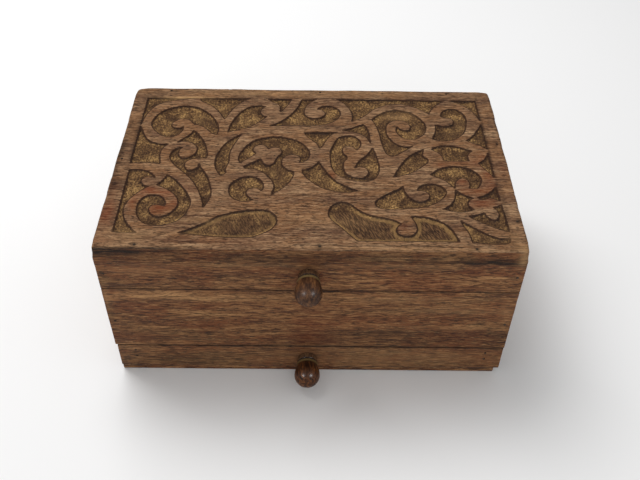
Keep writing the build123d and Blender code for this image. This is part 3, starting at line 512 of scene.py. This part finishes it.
FRONT_LIGHT = [
    ((-102, 96), (20, 4), 0.22), ((-60, 72), (50, 3), 0.16), ((60, 73), (60, 3), 0.22),
    ((90, 62), (40, 3), 0.22), ((-70, 33), (26, 1.4), 0.25), ((40, 21), (50, 1.6), 0.16),
    ((0, 0.8), (127, 0.7), 0.35), ((124, 108), (3, 6), 0.40), ((-40, 101), (60, 1.4), 0.18),
    ((60, 102), (40, 1.2), 0.18), ((-125, 70), (1.2, 14), 0.25), ((122, 60), (4, 10), 0.15),
    ((70, 14), (60, 9), 0.14), ((0, 15), (140, 12), 0.10), ((70, 46), (50, 4), 0.12),
]


def wear_down(points, out, glued=None):
    """Moves the faces in a little, by an amount that depends on the place alone, so that boards that are
    glued together stay flush. Near the height of a glue line nothing moves up or down."""
    depth = 0.10 * (1 + lattice_noise(points, 22 * MM, 51))
    depth += 0.05 * (1 + lattice_noise(points, (16 * MM, 4 * MM, 4 * MM), 52))
    if glued is not None:
        level = out * (1, 1, 0)
        level /= np.maximum(np.linalg.norm(level, axis=1, keepdims=True), 0.3)
        out = np.where((np.abs(points[:, 2] - glued) < GLUE_REACH)[:, None], level, out)
    return points - out * depth[:, None] * MM


def front_stains_and_shadow(points, out):
    """Dark, red and light patches of the front face. Some dark ones are painted shadow inside open joints,
    the rest stain.
    """
    front = smooth(-out[:, 1], 0.2, 0.6)
    return [blotches(points, (0, 2), marks) * front for marks in (FRONT_DARK_AND_SHADOW, FRONT_RED, FRONT_LIGHT)]


FLAT_ANGLE = 0.01   # radians between faces that are one flat face
SHARP_ANGLE = 0.5   # radians between faces that meet at an edge to be broken
SCREW_RECESS = 3.4  # radius in millimetres of the hole for a knob screw's head
RECESS_DEPTH = 2.0


def board(name, body, material, slot, radius=0.7, step=5.0, glued=None, seed=1, front=False, screw=None):
    """A board with worn, rounded edges and faintly uneven faces, in the place of its CAD node.
    glued is the height of a glue line, where its edges stay crisp except near the front right corner.
    screw is the node whose head lies in a recess in the board's back."""
    low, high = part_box(name)
    xs, ys, zs = (stations(low[a], high[a], step * MM) for a in range(3))
    if screw is not None:
        head_low, head_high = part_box(screw)
        screw_x, screw_z = (head_low[0] + head_high[0]) / 2, (head_low[2] + head_high[2]) / 2
        xs, zs = finer(xs, screw_x), finer(zs, screw_z)
    points, faces = box_shell(xs, ys, zs)
    wear = worn_radius(points, radius, seed)
    if glued is not None:
        wear = np.where(np.abs(points[:, 2] - glued) < GLUE_REACH, glue_radius(points), wear)
    points, out = round_edges(points, low, high, wear)
    points = wear_down(points, out, glued)
    if screw is not None:
        points = sink_recess(points, out, screw_x, screw_z)
    piece = new_piece(name + "_board", points, faces, material, body, slot, name)
    if front:
        dark, red, light = front_stains_and_shadow(points, out)
    else:
        dark = 0.45 * smooth(lattice_noise(points, (30 * MM, 30 * MM, 8 * MM), seed + 5), 0.25, 0.9)
        red = 0.35 * smooth(lattice_noise(points, 40 * MM, seed + 6), 0.30, 0.9)
        light = 0.20 * smooth(lattice_noise(points, (30 * MM, 30 * MM, 6 * MM), seed + 7), 0.30, 0.9)
    near_edge = np.minimum(np.abs(points[:, 2] - low[2]), np.abs(points[:, 2] - high[2]))
    # Painted shade along seams: the faces darken within 1.3 mm of the board's top and bottom.
    if glued is None:
        dark = np.maximum(dark, 0.55 * (1 - smooth(near_edge, 0.1 * MM, 1.3 * MM)))
    paint(piece, "dark", np.clip(dark, 0, STAIN_AND_SHADE_LIMIT))
    paint(piece, "red", red)
    paint(piece, "light", light)


def in_fixed_order(points, triangles):
    """The same triangles, with points and triangles sorted, so that each run gives the same mesh."""
    order = sorted(range(len(points)), key=points.__getitem__)
    rank = {old: new for new, old in enumerate(order)}
    faces = []
    for triangle in triangles:
        face = [rank[old] for old in triangle]
        start = face.index(min(face))
        faces.append(face[start:] + face[:start])
    return [points[old] for old in order], sorted(faces)


def cut_board(name, body, material, slot, radius):
    """A board that has cut-outs: the CAD node's own shape with its sharp edges broken."""
    shape = bmesh.new()
    shape.from_mesh(NODES[name].data)
    bmesh.ops.remove_doubles(shape, verts=shape.verts, dist=0.001 * MM)
    bmesh.ops.dissolve_limit(shape, angle_limit=FLAT_ANGLE, verts=shape.verts, edges=shape.edges)
    inner = [edge for edge in shape.edges if len(edge.link_faces) == 2]
    sharp = [edge for edge in inner if edge.calc_face_angle() > SHARP_ANGLE]
    bmesh.ops.bevel(shape, geom=sharp, offset=radius * MM, offset_type="OFFSET", segments=3, profile=0.5,
                    affect="EDGES")
    bmesh.ops.triangulate(shape, faces=shape.faces)
    shape.verts.index_update()
    points = [vertex.co[:] for vertex in shape.verts]
    triangles = [[vertex.index for vertex in face.verts] for face in shape.faces]
    shape.free()
    points, faces = in_fixed_order(points, triangles)
    piece = new_piece(name + "_board", points, faces, material, body, slot, name)
    piece.data.polygons.foreach_set("use_smooth", [False] * len(faces))


def finer(lines, centre):
    """The mesh lines of a board, with close ones added across a screw's recess."""
    reach = (SCREW_RECESS + 0.6) * MM
    far = [line for line in lines if abs(line - centre) > reach + 0.2 * MM]
    close = list(np.linspace(centre - reach, centre + reach, 21))
    return np.array(sorted(far + close))


def sink_recess(points, out, centre_x, centre_z):
    """Sinks a round recess for a screw's head into a board's back face."""
    across = np.stack([points[:, 0] - centre_x, points[:, 2] - centre_z], 1)
    distance = np.linalg.norm(across, axis=1)
    face = out[:, 1] > 0.99
    floor = face & (distance < SCREW_RECESS * MM)
    wall_foot = floor & (distance > (SCREW_RECESS - 0.4) * MM)
    wall_top = face & ~floor & (distance < (SCREW_RECESS + 0.4) * MM)
    for ring, radius in ((wall_foot, SCREW_RECESS - 0.08), (wall_top, SCREW_RECESS + 0.05)):
        scale = radius * MM / distance[ring]
        points[ring, 0] = centre_x + across[ring, 0] * scale
        points[ring, 2] = centre_z + across[ring, 1] * scale
    points[floor, 1] -= RECESS_DEPTH * MM
    return points


def glue_radius(points):
    """Edge radius along the glue line, which has opened a little at the front right corner."""
    opened = smooth(points[:, 0], 0.092, 0.102) * smooth(-points[:, 1], 0.070, 0.078)
    return (0.03 + 0.30 * opened) * MM


# ---------------------------------------------------------------- carved board
CELL = 0.68 * MM         # spacing of the mesh lines over the carving
SIDE_STATIONS = (0.4, 0.9, 1.6, 4.0, 8.0)  # millimetres down the board's sides
WALL_WIDTH = 0.65        # millimetres from a pocket's outline to the foot of its wall
RIM_ROUND = 0.28         # how far the worn rim of a pocket drops
TOUCHING = 1e-7          # metres
# Dark marks of the carved board: brad heads and stain, and one painted shadow, the line at (-100, -81.8)
# along the front left edge, which stands for the shade inside an open joint.
TOP_DARK_AND_SHADOW = [  # (x, y), half sizes, strength
    ((-102, -79), (1.7, 1.7), 0.9), ((5, -79), (2.1, 1.7), 0.9), ((96, -80), (1.5, 1.3), 0.7),
    ((124, -56), (2.1, 1.9), 0.85), ((0, 71.5), (116, 0.9), 0.45), ((-118, 20), (1.1, 52), 0.50),
    ((116.9, 10), (0.9, 62), 0.70), ((-110, 70.9), (12, 0.8), 0.45), ((118.5, -40), (1.2, 30), 0.40),
    ((-100, -81.8), (30, 1.0), 0.90), ((-125.5, 0), (1.6, 30), 0.55), ((-124, -30), (2.4, 12), 0.45),
    ((-122, 38), (5, 7), 0.40), ((-124, 12), (3, 9), 0.45), ((-121, -24), (6, 5), 0.40),
    ((-123, 60), (3, 5), 0.35), ((-110, 2), (12, 1.4), 0.35), ((-70, -5), (10, 1.2), 0.3),
    ((-86, 20), (12, 1.2), 0.3), ((70, 20), (14, 1.2), 0.3), ((20, 38), (30, 1.0), 0.35),
    ((-50, 50), (4, 2), 0.25), ((100, -52), (10, 1.4), 0.35), ((40, -27), (20, 1.2), 0.3),
    ((-120, 30), (5, 3), 0.35), ((-110, 76), (6, 3), 0.25), ((121, 22), (6, 1.6), 0.45),
    ((122, -2), (5, 1.4), 0.4), ((60, -78), (60, 1.0), 0.40), ((-70, -76.5), (30, 0.9), 0.30),
    ((54.7, -71.5), (0.4, 2.2), 0.80), ((90, -72), (30, 0.8), 0.35), ((-20, -60), (40, 1.2), 0.25),
    ((66, 6), (6, 6), 0.30), ((70, 50), (3, 2), 0.2), ((-50, -45), (20, 1.0), 0.30),
    ((0, -34), (30, 0.9), 0.28), ((126, 40), (1.2, 30), 0.45),
]
TOP_RED = [
    ((-123, -52), (4.5, 12), 0.75), ((-124, -30), (4, 12), 0.35), ((-92, -48), (8, 5), 0.85),
    ((-94, -34), (13, 4.5), 0.70), ((-109.5, -42), (3, 9), 0.60), ((-103, -30), (7, 4), 0.60),
    ((113, -12), (4.5, 20), 0.65), ((103, -28.5), (10, 4), 0.65), ((84, -3), (6, 2.4), 0.55),
    ((95, -20), (4, 3.5), 0.70), ((105, -40), (9, 4.5), 0.75), ((12.5, -14.5), (3, 3.5), 0.60),
    ((-123, -76), (6, 4), 0.35), ((-84, -42), (3, 4), 0.50), ((123.5, -5), (3, 10), 0.35),
    ((108, 3), (6, 8), 0.25), ((-60, -76), (60, 3), 0.15), ((-80, -30), (10, 10), 0.15),
    ((55, -62), (4, 4), 0.30), ((100, 0), (12, 3), 0.30), ((113, 20), (5, 6), 0.25),
]
TOP_LIGHT = [
    ((-92, 70.8), (16, 0.9), 0.90), ((60, 52), (11, 5), 0.28), ((0, 77.5), (126, 4), 0.18),
    ((-80, 71.4), (22, 0.6), 0.40), ((-106, -72), (16, 6), 0.22), ((124, -79), (4, 3), 0.45),
    ((20, -56), (30, 4), 0.10), ((-40, 77), (50, 3), 0.12), ((60, -80.5), (70, 1.2), 0.22),
    ((120, -70), (6, 8), 0.15), ((104, 66.5), (5, 1.2), 0.45), ((-66, -58), (14, 2), 0.20),
]
COMBED = [((47, -62), (39, 13), 1.0), ((-47, -60), (30, 12), 0.65)]


def pocket_walls():
    """The carved pockets' outlines in the CAD board, as line segments, and the depth of their floors."""
    mesh = NODES["carved_top_panel"].data
    low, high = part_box("carved_top_panel")
    co = np.array([v.co for v in mesh.vertices])
    mesh.calc_loop_triangles()
    triangles = np.array([t.vertices for t in mesh.loop_triangles])
    z = co[triangles, 2]
    flat = (np.ptp(z, axis=1) < 0.01 * MM) & (z[:, 0] < high[2] - 1.5 * MM) & (z[:, 0] > low[2] + 1.5 * MM)
    floor = triangles[flat]
    depth = high[2] - float(np.median(co[floor, 2]))
    keys = np.round(co[:, :2] / (0.002 * MM)).astype(np.int64)
    seen = {}
    for triangle in floor:
        for a, b in ((0, 1), (1, 2), (2, 0)):
            first, second = tuple(keys[triangle[a]]), tuple(keys[triangle[b]])
            edge = (min(first, second), max(first, second))
            seen.setdefault(edge, []).append((triangle[a], triangle[b]))
    border = [pair[0] for pair in seen.values() if len(pair) == 1]
    return np.array([[co[a, :2], co[b, :2]] for a, b in border]), depth


def inside_pockets(xs, ys, segments):
    """Which points of a grid lie inside the outlines, by counting crossings along each row."""
    start, end = segments[:, 0], segments[:, 1]
    result = np.zeros((len(xs), len(ys)), bool)
    for j, y in enumerate(ys):
        y = y + 1e-8  # a row never runs exactly through an outline's corner
        crossing = (start[:, 1] > y) != (end[:, 1] > y)
        a, b = start[crossing], end[crossing]
        x = a[:, 0] + (y - a[:, 1]) * (b[:, 0] - a[:, 0]) / (b[:, 1] - a[:, 1])
        result[:, j] = np.searchsorted(np.sort(x), xs) % 2 == 1
    return result


def outline_tree(segments):
    """A search tree of points along the outlines, a tenth of a millimetre apart."""
    samples = []
    for a, b in segments:
        count = max(1, int(np.linalg.norm(b - a) / (0.1 * MM)))
        samples.extend(a + (b - a) * i / count for i in range(count))
    tree = kdtree.KDTree(len(samples))
    for i, p in enumerate(samples):
        tree.insert((p[0], p[1], 0), i)
    tree.balance()
    return tree


def uneven_stations(low, high, fine_low, fine_high):
    """Mesh lines: fine over the carving, coarse on the border and close together at the worn edge."""
    near = [s * MM for s in EDGE_STATIONS]
    border_low = np.linspace(low + near[-1], fine_low, 4)[1:]
    border_high = np.linspace(fine_high, high - near[-1], 4)[:-1]
    count = round((fine_high - fine_low) / CELL)
    fine = np.linspace(fine_low, fine_high, count + 1)[1:-1]
    return np.array([low + s for s in near] + list(border_low) + list(fine) + list(border_high)
                    + [high - s for s in reversed(near)])


def nearest_outline(tree, flat):
    """The nearest point of the outlines to each grid point, and its distance."""
    nearest = np.empty_like(flat)
    distance = np.empty(len(flat))
    for i, (x, y) in enumerate(flat):
        place, _, distance[i] = tree.find((x, y, 0))
        nearest[i] = place[0], place[1]
    return nearest, distance


def combed_share(flat, inside):
    """How strongly each grid point is combed, from 0 to 1."""
    share = np.zeros(len(flat))
    for (cx, cy), (hx, hy), strength in COMBED:
        near = ((flat[:, 0] / MM - cx) / hx) ** 2 + ((flat[:, 1] / MM - cy) / hy) ** 2
        share = np.maximum(share, (near < 1.6) * strength)
    return share * inside


def carving_drop(flat, inside, on_outline, deep, away, comb, depth):
    """How far each grid point lies below the board's top: worn rims, walls, and dished, chiselled floors.
    deep and away are the distances in millimetres to the outline, from inside and from outside."""
    wall = smooth(deep, 0.0, WALL_WIDTH)
    dish = 0.82 + 0.18 * smooth(deep, 0.5, 3.5)
    chisel = 0.15 * lattice_noise(flat, (1.5 * MM, 2.6 * MM), 21) + 0.10 * lattice_noise(flat, 1.4 * MM, 22)
    waves = np.sin(flat[:, 0] / MM * math.pi + 3 * lattice_noise(flat, 6 * MM, 23))
    chisel += comb * smooth(deep, 2.0, 3.5) * 0.10 * waves
    sink = wall * (depth / MM - RIM_ROUND) * dish + smooth(deep, 0.5, 1.2) * (chisel + 0.1)
    sink = np.clip(sink, 0, depth / MM)
    rim = RIM_ROUND * (1 - smooth(away, 0.0, 1.5)) * (1 - inside)
    rim[on_outline] = RIM_ROUND
    return (sink + np.where(inside & ~on_outline, RIM_ROUND, rim)) * MM


def close_below(flat, rows, columns, top, bottom):
    """Points and faces of a closed board whose top is the grid: the top, the sides and the underside."""
    points = np.column_stack([flat, np.full(len(flat), top)])
    faces = []
    for i in range(rows - 1):
        for j in range(columns - 1):
            a = i * columns + j
            faces.append((a, a + columns, a + columns + 1, a + 1))
    rim = [i * columns for i in range(rows)]
    rim += [(rows - 1) * columns + j for j in range(1, columns)]
    rim += [i * columns + columns - 1 for i in range(rows - 2, -1, -1)]
    rim += [j for j in range(columns - 2, 0, -1)]
    previous = rim
    skirt = []
    for z in [top - s * MM for s in SIDE_STATIONS] + [bottom + 0.1 * MM, bottom]:
        first = len(points) + len(skirt)
        ring = list(range(first, first + len(rim)))
        skirt.extend([points[k, 0], points[k, 1], z] for k in rim)
        for k in range(len(rim)):
            after = (k + 1) % len(rim)
            faces.append((previous[k], ring[k], ring[after], previous[after]))
        previous = ring
    faces.append(tuple(reversed(previous)))
    return np.vstack([points, np.array(skirt)]), faces


def carved_board(material):
    """The lid's carved board as one closed mesh, its pockets dished and chiselled."""
    low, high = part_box("carved_top_panel")
    segments, depth = pocket_walls()
    margin = 1.5 * MM
    fine_low, fine_high = segments.reshape(-1, 2).min(0) - margin, segments.reshape(-1, 2).max(0) + margin
    xs = uneven_stations(low[0], high[0], fine_low[0], fine_high[0])
    ys = uneven_stations(low[1], high[1], fine_low[1], fine_high[1])
    inside = inside_pockets(xs, ys, segments).ravel()
    grid_x, grid_y = np.meshgrid(xs, ys, indexing="ij")
    flat = np.stack([grid_x.ravel(), grid_y.ravel()], 1)
    tree = outline_tree(segments)
    nearest, distance = nearest_outline(tree, flat)
    on_outline = distance < 0.5 * CELL
    flat[on_outline] = nearest[on_outline]
    distance[on_outline] = 0
    deep = np.where(inside, distance, 0) / MM
    away = np.where(inside, 0, distance) / MM
    comb = combed_share(flat, inside)
    drop = carving_drop(flat, inside, on_outline, deep, away, comb, depth)
    points, faces = close_below(flat, len(xs), len(ys), high[2], low[2])
    top_count = len(flat)

    wear = worn_radius(points, 1.1, 31)
    corner = smooth(np.abs(points[:, 0]), high[0] - 9 * MM, high[0] - 1 * MM)
    corner *= smooth(np.abs(points[:, 1]), high[1] - 9 * MM, high[1] - 1 * MM)
    wear = wear + 1.7 * MM * corner
    wear = np.where(points[:, 2] < low[2] + 3 * MM, glue_radius(points), wear)
    points, out = round_edges(points, low, high, wear)
    points[:top_count] -= out[:top_count] * drop[:, None]
    points = wear_down(points, out, low[2])

    piece = new_piece("carved_top", points, faces, material, "lid", "carved_top", "carved_top_panel")
    below = np.zeros(len(points) - top_count)
    shade = back_facing(tree, flat, inside, distance, (len(xs), len(ys)))
    signed = np.where(inside, np.minimum(deep, 6.0), -np.minimum(away, 3.0))
    paint(piece, "edge", np.concatenate([signed, below - 3.0]))
    paint(piece, "shade", np.concatenate([shade, below]))
    paint(piece, "comb", np.concatenate([comb, below]))
    paint(piece, "side", 1 - smooth(out[:, 2], 0.35, 0.8))
    upward = smooth(out[:, 2], 0.3, 0.7) * np.concatenate([1 - 0.5 * inside, below + 1])
    kinds = (("dark", TOP_DARK_AND_SHADOW, upward), ("red", TOP_RED, upward), ("light", TOP_LIGHT, 1))
    for (kind, marks, share), front_marks in zip(kinds, front_stains_and_shadow(points, out)):
        painted = blotches(points, (0, 1), marks) * share + front_marks
        paint(piece, kind, np.clip(painted, 0, STAIN_AND_SHADE_LIMIT))


def back_facing(tree, flat, inside, distance, shape):
    """How far the nearest pocket wall is a back or left one, from 0 to 1, on both sides of the wall. It
    widens and darkens the painted shade along the outlines.
    """
    facing = np.full(len(flat), np.nan)
    for i in np.nonzero((distance > TOUCHING) & (distance < 4 * MM))[0]:
        place, _, gap = tree.find((flat[i, 0], flat[i, 1], 0))
        if gap > TOUCHING:
            side = 1 if inside[i] else -1
            facing[i] = side * ((place[1] - flat[i, 1]) * 0.85 - (place[0] - flat[i, 0]) * 0.5) / gap
    grid = facing.reshape(shape)
    around = np.stack([np.roll(grid, step, axis) for axis in (0, 1) for step in (1, -1)])
    known = ~np.isnan(around)
    mean = np.where(known, around, 0).sum(0) / np.maximum(known.sum(0), 1)
    return np.clip(0.5 + 0.5 * np.where(np.isnan(grid), mean, grid), 0, 1).ravel()


# ---------------------------------------------------------------- knobs
KNOB_PROFILE = [  # millimetres along the spindle and out from it
    (0.0, 6.3), (0.3, 6.45), (0.8, 6.5), (1.6, 6.5), (2.4, 6.5), (3.1, 6.45),  # foot collar
    (3.5, 6.2), (3.8, 5.9), (4.2, 5.8), (4.55, 5.95), (4.8, 6.5),              # groove
    (5.0, 6.9), (5.3, 7.0), (6.3, 7.0), (6.8, 6.92),                           # rim
    (7.1, 7.1), (7.7, 7.3), (8.6, 7.55), (9.8, 7.8), (11.0, 8.02), (12.2, 8.2)]  # barrel
HATCHES = 34       # radial cuts round the foot collar
HATCH_DEPTH = 0.3  # millimetres
BALL_RINGS = 14    # mesh rings of the round end


def knob(name, body, material):
    """A turned knob: hatched foot collar, groove, rim, swelling barrel and round end."""
    low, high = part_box(name)
    centre_x, centre_z = (low[0] + high[0]) / 2, (low[2] + high[2]) / 2
    radius = (high[0] - low[0]) / 2
    length = high[1] - low[1]
    ball = length - radius
    profile = [(a * MM, r * MM) for a, r in KNOB_PROFILE]
    for i in range(BALL_RINGS):
        angle = math.pi / 2 * i / BALL_RINGS
        profile.append((ball + radius * math.sin(angle), radius * math.cos(angle) * 0.999))
    around = HATCHES * 4
    points, faces, distance = [], [], []
    for a, r in profile:
        for k in range(around):
            turn = 2 * math.pi * k / around
            cut = HATCH_DEPTH * MM if 0.5 * MM < a < 3.3 * MM and k % 4 == 0 else 0
            across, up = (r - cut) * math.cos(turn), (r - cut) * math.sin(turn)
            points.append((centre_x + across, high[1] - a, centre_z + up))
            distance.append(a / MM)
    for ring in range(0, (len(profile) - 1) * around, around):
        following = ring + around
        for k in range(around):
            after = (k + 1) % around
            faces.append((ring + k, ring + after, following + after, following + k))
    tip = len(points)
    points.append((centre_x, low[1], centre_z))
    distance.append(length / MM)
    last = (len(profile) - 1) * around
    for k in range(around):
        faces.append((last + k, last + (k + 1) % around, tip))
    faces.append(tuple(range(around))[::-1])
    piece = new_piece(name + "_turned", points, faces, material, body, "knob", name)
    distance = np.array(distance)
    # rim marks where the painted highlight of the rim's lit shoulder goes.
    paint(piece, "rim", 0.85 * smooth(distance, 4.7, 5.0) * (1 - smooth(distance, 6.6, 7.1)))
    paint(piece, "collar", 1 - smooth(distance, 3.1, 3.5))
    # groove marks where the painted shade in the groove goes; it also makes the groove rough.
    paint(piece, "groove", 0.85 * smooth(distance, 3.2, 3.7) * (1 - smooth(distance, 4.5, 4.8)))


# ---------------------------------------------------------------- stage
CAMERA_PLACE = (0.0015, -0.4039, 0.4349)
CAMERA_PITCH = math.radians(44.155)
CAMERA_YAW = math.radians(-0.641)
CAMERA_ROLL = math.radians(1.063)
CAMERA_LENS = 44.42
FLOOR_REACH = 4.0


def make_camera():
    """The camera stands above the front edge and looks down on the lid."""
    right = Vector((1, 0, 0))
    up = Vector((0, math.sin(CAMERA_PITCH), math.cos(CAMERA_PITCH)))
    ahead = Vector((0, math.cos(CAMERA_PITCH), -math.sin(CAMERA_PITCH)))
    rolled_right = right * math.cos(CAMERA_ROLL) + up * math.sin(CAMERA_ROLL)
    rolled_up = up * math.cos(CAMERA_ROLL) - right * math.sin(CAMERA_ROLL)
    turn = Matrix((rolled_right, rolled_up, -ahead)).transposed()
    turn = Matrix.Rotation(CAMERA_YAW, 3, "Z") @ turn
    data = bpy.data.cameras.new("camera")
    data.lens = CAMERA_LENS
    data.clip_start = 0.01
    camera = bpy.data.objects.new("camera", data)
    camera.matrix_world = Matrix.Translation(CAMERA_PLACE) @ turn.to_4x4()
    bpy.context.scene.collection.objects.link(camera)
    bpy.context.scene.camera = camera


def area_light(name, place, target, size, power):
    """A square lamp of size metres at a place, turned to a target."""
    data = bpy.data.lights.new(name, "AREA")
    data.size = size
    data.energy = power
    light = bpy.data.objects.new(name, data)
    light.location = place
    light.rotation_euler = (Vector(target) - Vector(place)).to_track_quat("-Z", "Y").to_euler()
    bpy.context.scene.collection.objects.link(light)
    return light


def make_stage():
    """A pale floor, a white world and soft lamps, of which two only show as sparks on the varnish."""
    mesh = bpy.data.meshes.new("floor")
    corners = [(-FLOOR_REACH, -FLOOR_REACH, 0), (FLOOR_REACH, -FLOOR_REACH, 0),
               (FLOOR_REACH, FLOOR_REACH, 0), (-FLOOR_REACH, FLOOR_REACH, 0)]
    mesh.from_pydata(corners, [], [(0, 1, 2, 3)])
    floor = bpy.data.objects.new("floor", mesh)
    bpy.context.scene.collection.objects.link(floor)
    paper = Shader("pale_floor", 0.9, 0.1)
    mesh.materials.append(paper.finish((0.88, 0.88, 0.88, 1)))
    world = bpy.data.worlds.new("studio")
    bpy.context.scene.world = world
    world.use_nodes = True
    background = world.node_tree.nodes["Background"]
    background.inputs["Color"].default_value = (1, 1, 1, 1)
    background.inputs["Strength"].default_value = 0.42
    middle = (0, 0, 0.08)
    area_light("key", (-0.45, 0.50, 1.25), middle, 0.9, 15.0).visible_glossy = False
    area_light("fill", (0.1, -1.3, 0.7), middle, 0.9, 4.2).visible_glossy = False
    for name, x in (("left_spark", -0.49), ("right_spark", 0.49)):
        area_light(name, (x, -0.57, 0.54), (0, -0.09, 0.05), 0.22, 6.0).visible_diffuse = False


# ---------------------------------------------------------------- the box
def build():
    """The looks of the whole box: carved board, boards, knobs, and finishes for the nodes kept from CAD."""
    front = board_material("front_wood", "X", FRONT_TONES, 0.0)
    back = board_material("back_wood", "X", FRONT_TONES, 7.0)
    sides = board_material("side_wood", "Y", FRONT_TONES, 4.0)
    inner = board_material("inner_wood", "X", INNER_TONES, 9.0, 0.65, 0.25)
    inner_deep = board_material("inner_wood_deep", "Y", INNER_TONES, 12.0, 0.65, 0.25)
    upright = board_material("upright_wood", "Z", INNER_TONES, 15.0, 0.6, 0.25)
    brass = metal_material("aged_brass", tone(178, 142, 84), tone(96, 72, 42), 0.38)
    steel = metal_material("dark_steel", tone(84, 74, 66), tone(40, 28, 22), 0.6)
    varnish = knob_material("varnished_knob", DRAWER_KNOB_TONES, 0.38, 0.16)
    worn_varnish = knob_material("worn_knob", LID_KNOB_TONES, 0.50, 0.27)

    carved_board(carved_material())
    glue_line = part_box("carved_top_panel")[0][2]
    board("lid_front_rail", "lid", front, "outer_board", 0.45, 3, glue_line, 11, True, "lid_knob_screw")
    board("lid_back_rail", "lid", back, "outer_board", 0.45, 5, glue_line, 12)
    board("front_wall", "case", front, "outer_board", 0.45, 3, None, 13, True)
    board("back_wall", "case", back, "outer_board", 0.45, 5, None, 14)
    cut_board("base_panel", "case", front, "outer_board", 0.9)
    board("drawer_front", "drawer", front, "outer_board", 0.5, 3, None, 16, True, "drawer_knob_screw")
    board("plinth_back_rail", "case", back, "outer_board", 0.5, 6, None, 17)
    for number, side in enumerate(("left", "right")):
        board(f"lid_{side}_rail", "lid", sides, "outer_board", 0.45, 5, glue_line, 18 + number)
        board(f"{side}_wall", "case", sides, "outer_board", 0.5, 5, None, 20 + number)
        board(f"plinth_{side}_rail", "case", sides, "outer_board", 0.5, 6, None, 22 + number)
        board(f"drawer_{side}_side", "drawer", inner_deep, "inner_board", 0.6, 6, None, 24 + number)
    cut_board("compartment_floor", "case", inner, "inner_board", 0.3)
    board("drawer_bottom", "drawer", inner, "inner_board", 0.3, 6, None, 27)
    board("drawer_back", "drawer", inner, "inner_board", 0.6, 6, None, 28)
    knob("lid_knob", "lid", worn_varnish)
    knob("drawer_knob", "drawer", varnish)

    finishes = {"inner_board": upright, "hinge_brass": brass, "fastener_steel": steel,
                "outer_board": front, "knob": varnish, "carved_top": front}
    slots = {row["node"]: row["material_slot"] for row in frame["record"]["subparts"]}
    for name, node in NODES.items():
        node.data.materials.clear()
        node.data.materials.append(finishes[slots[name]])


build()
make_stage()
make_camera()
bpy.context.scene.view_settings.view_transform = "Standard"
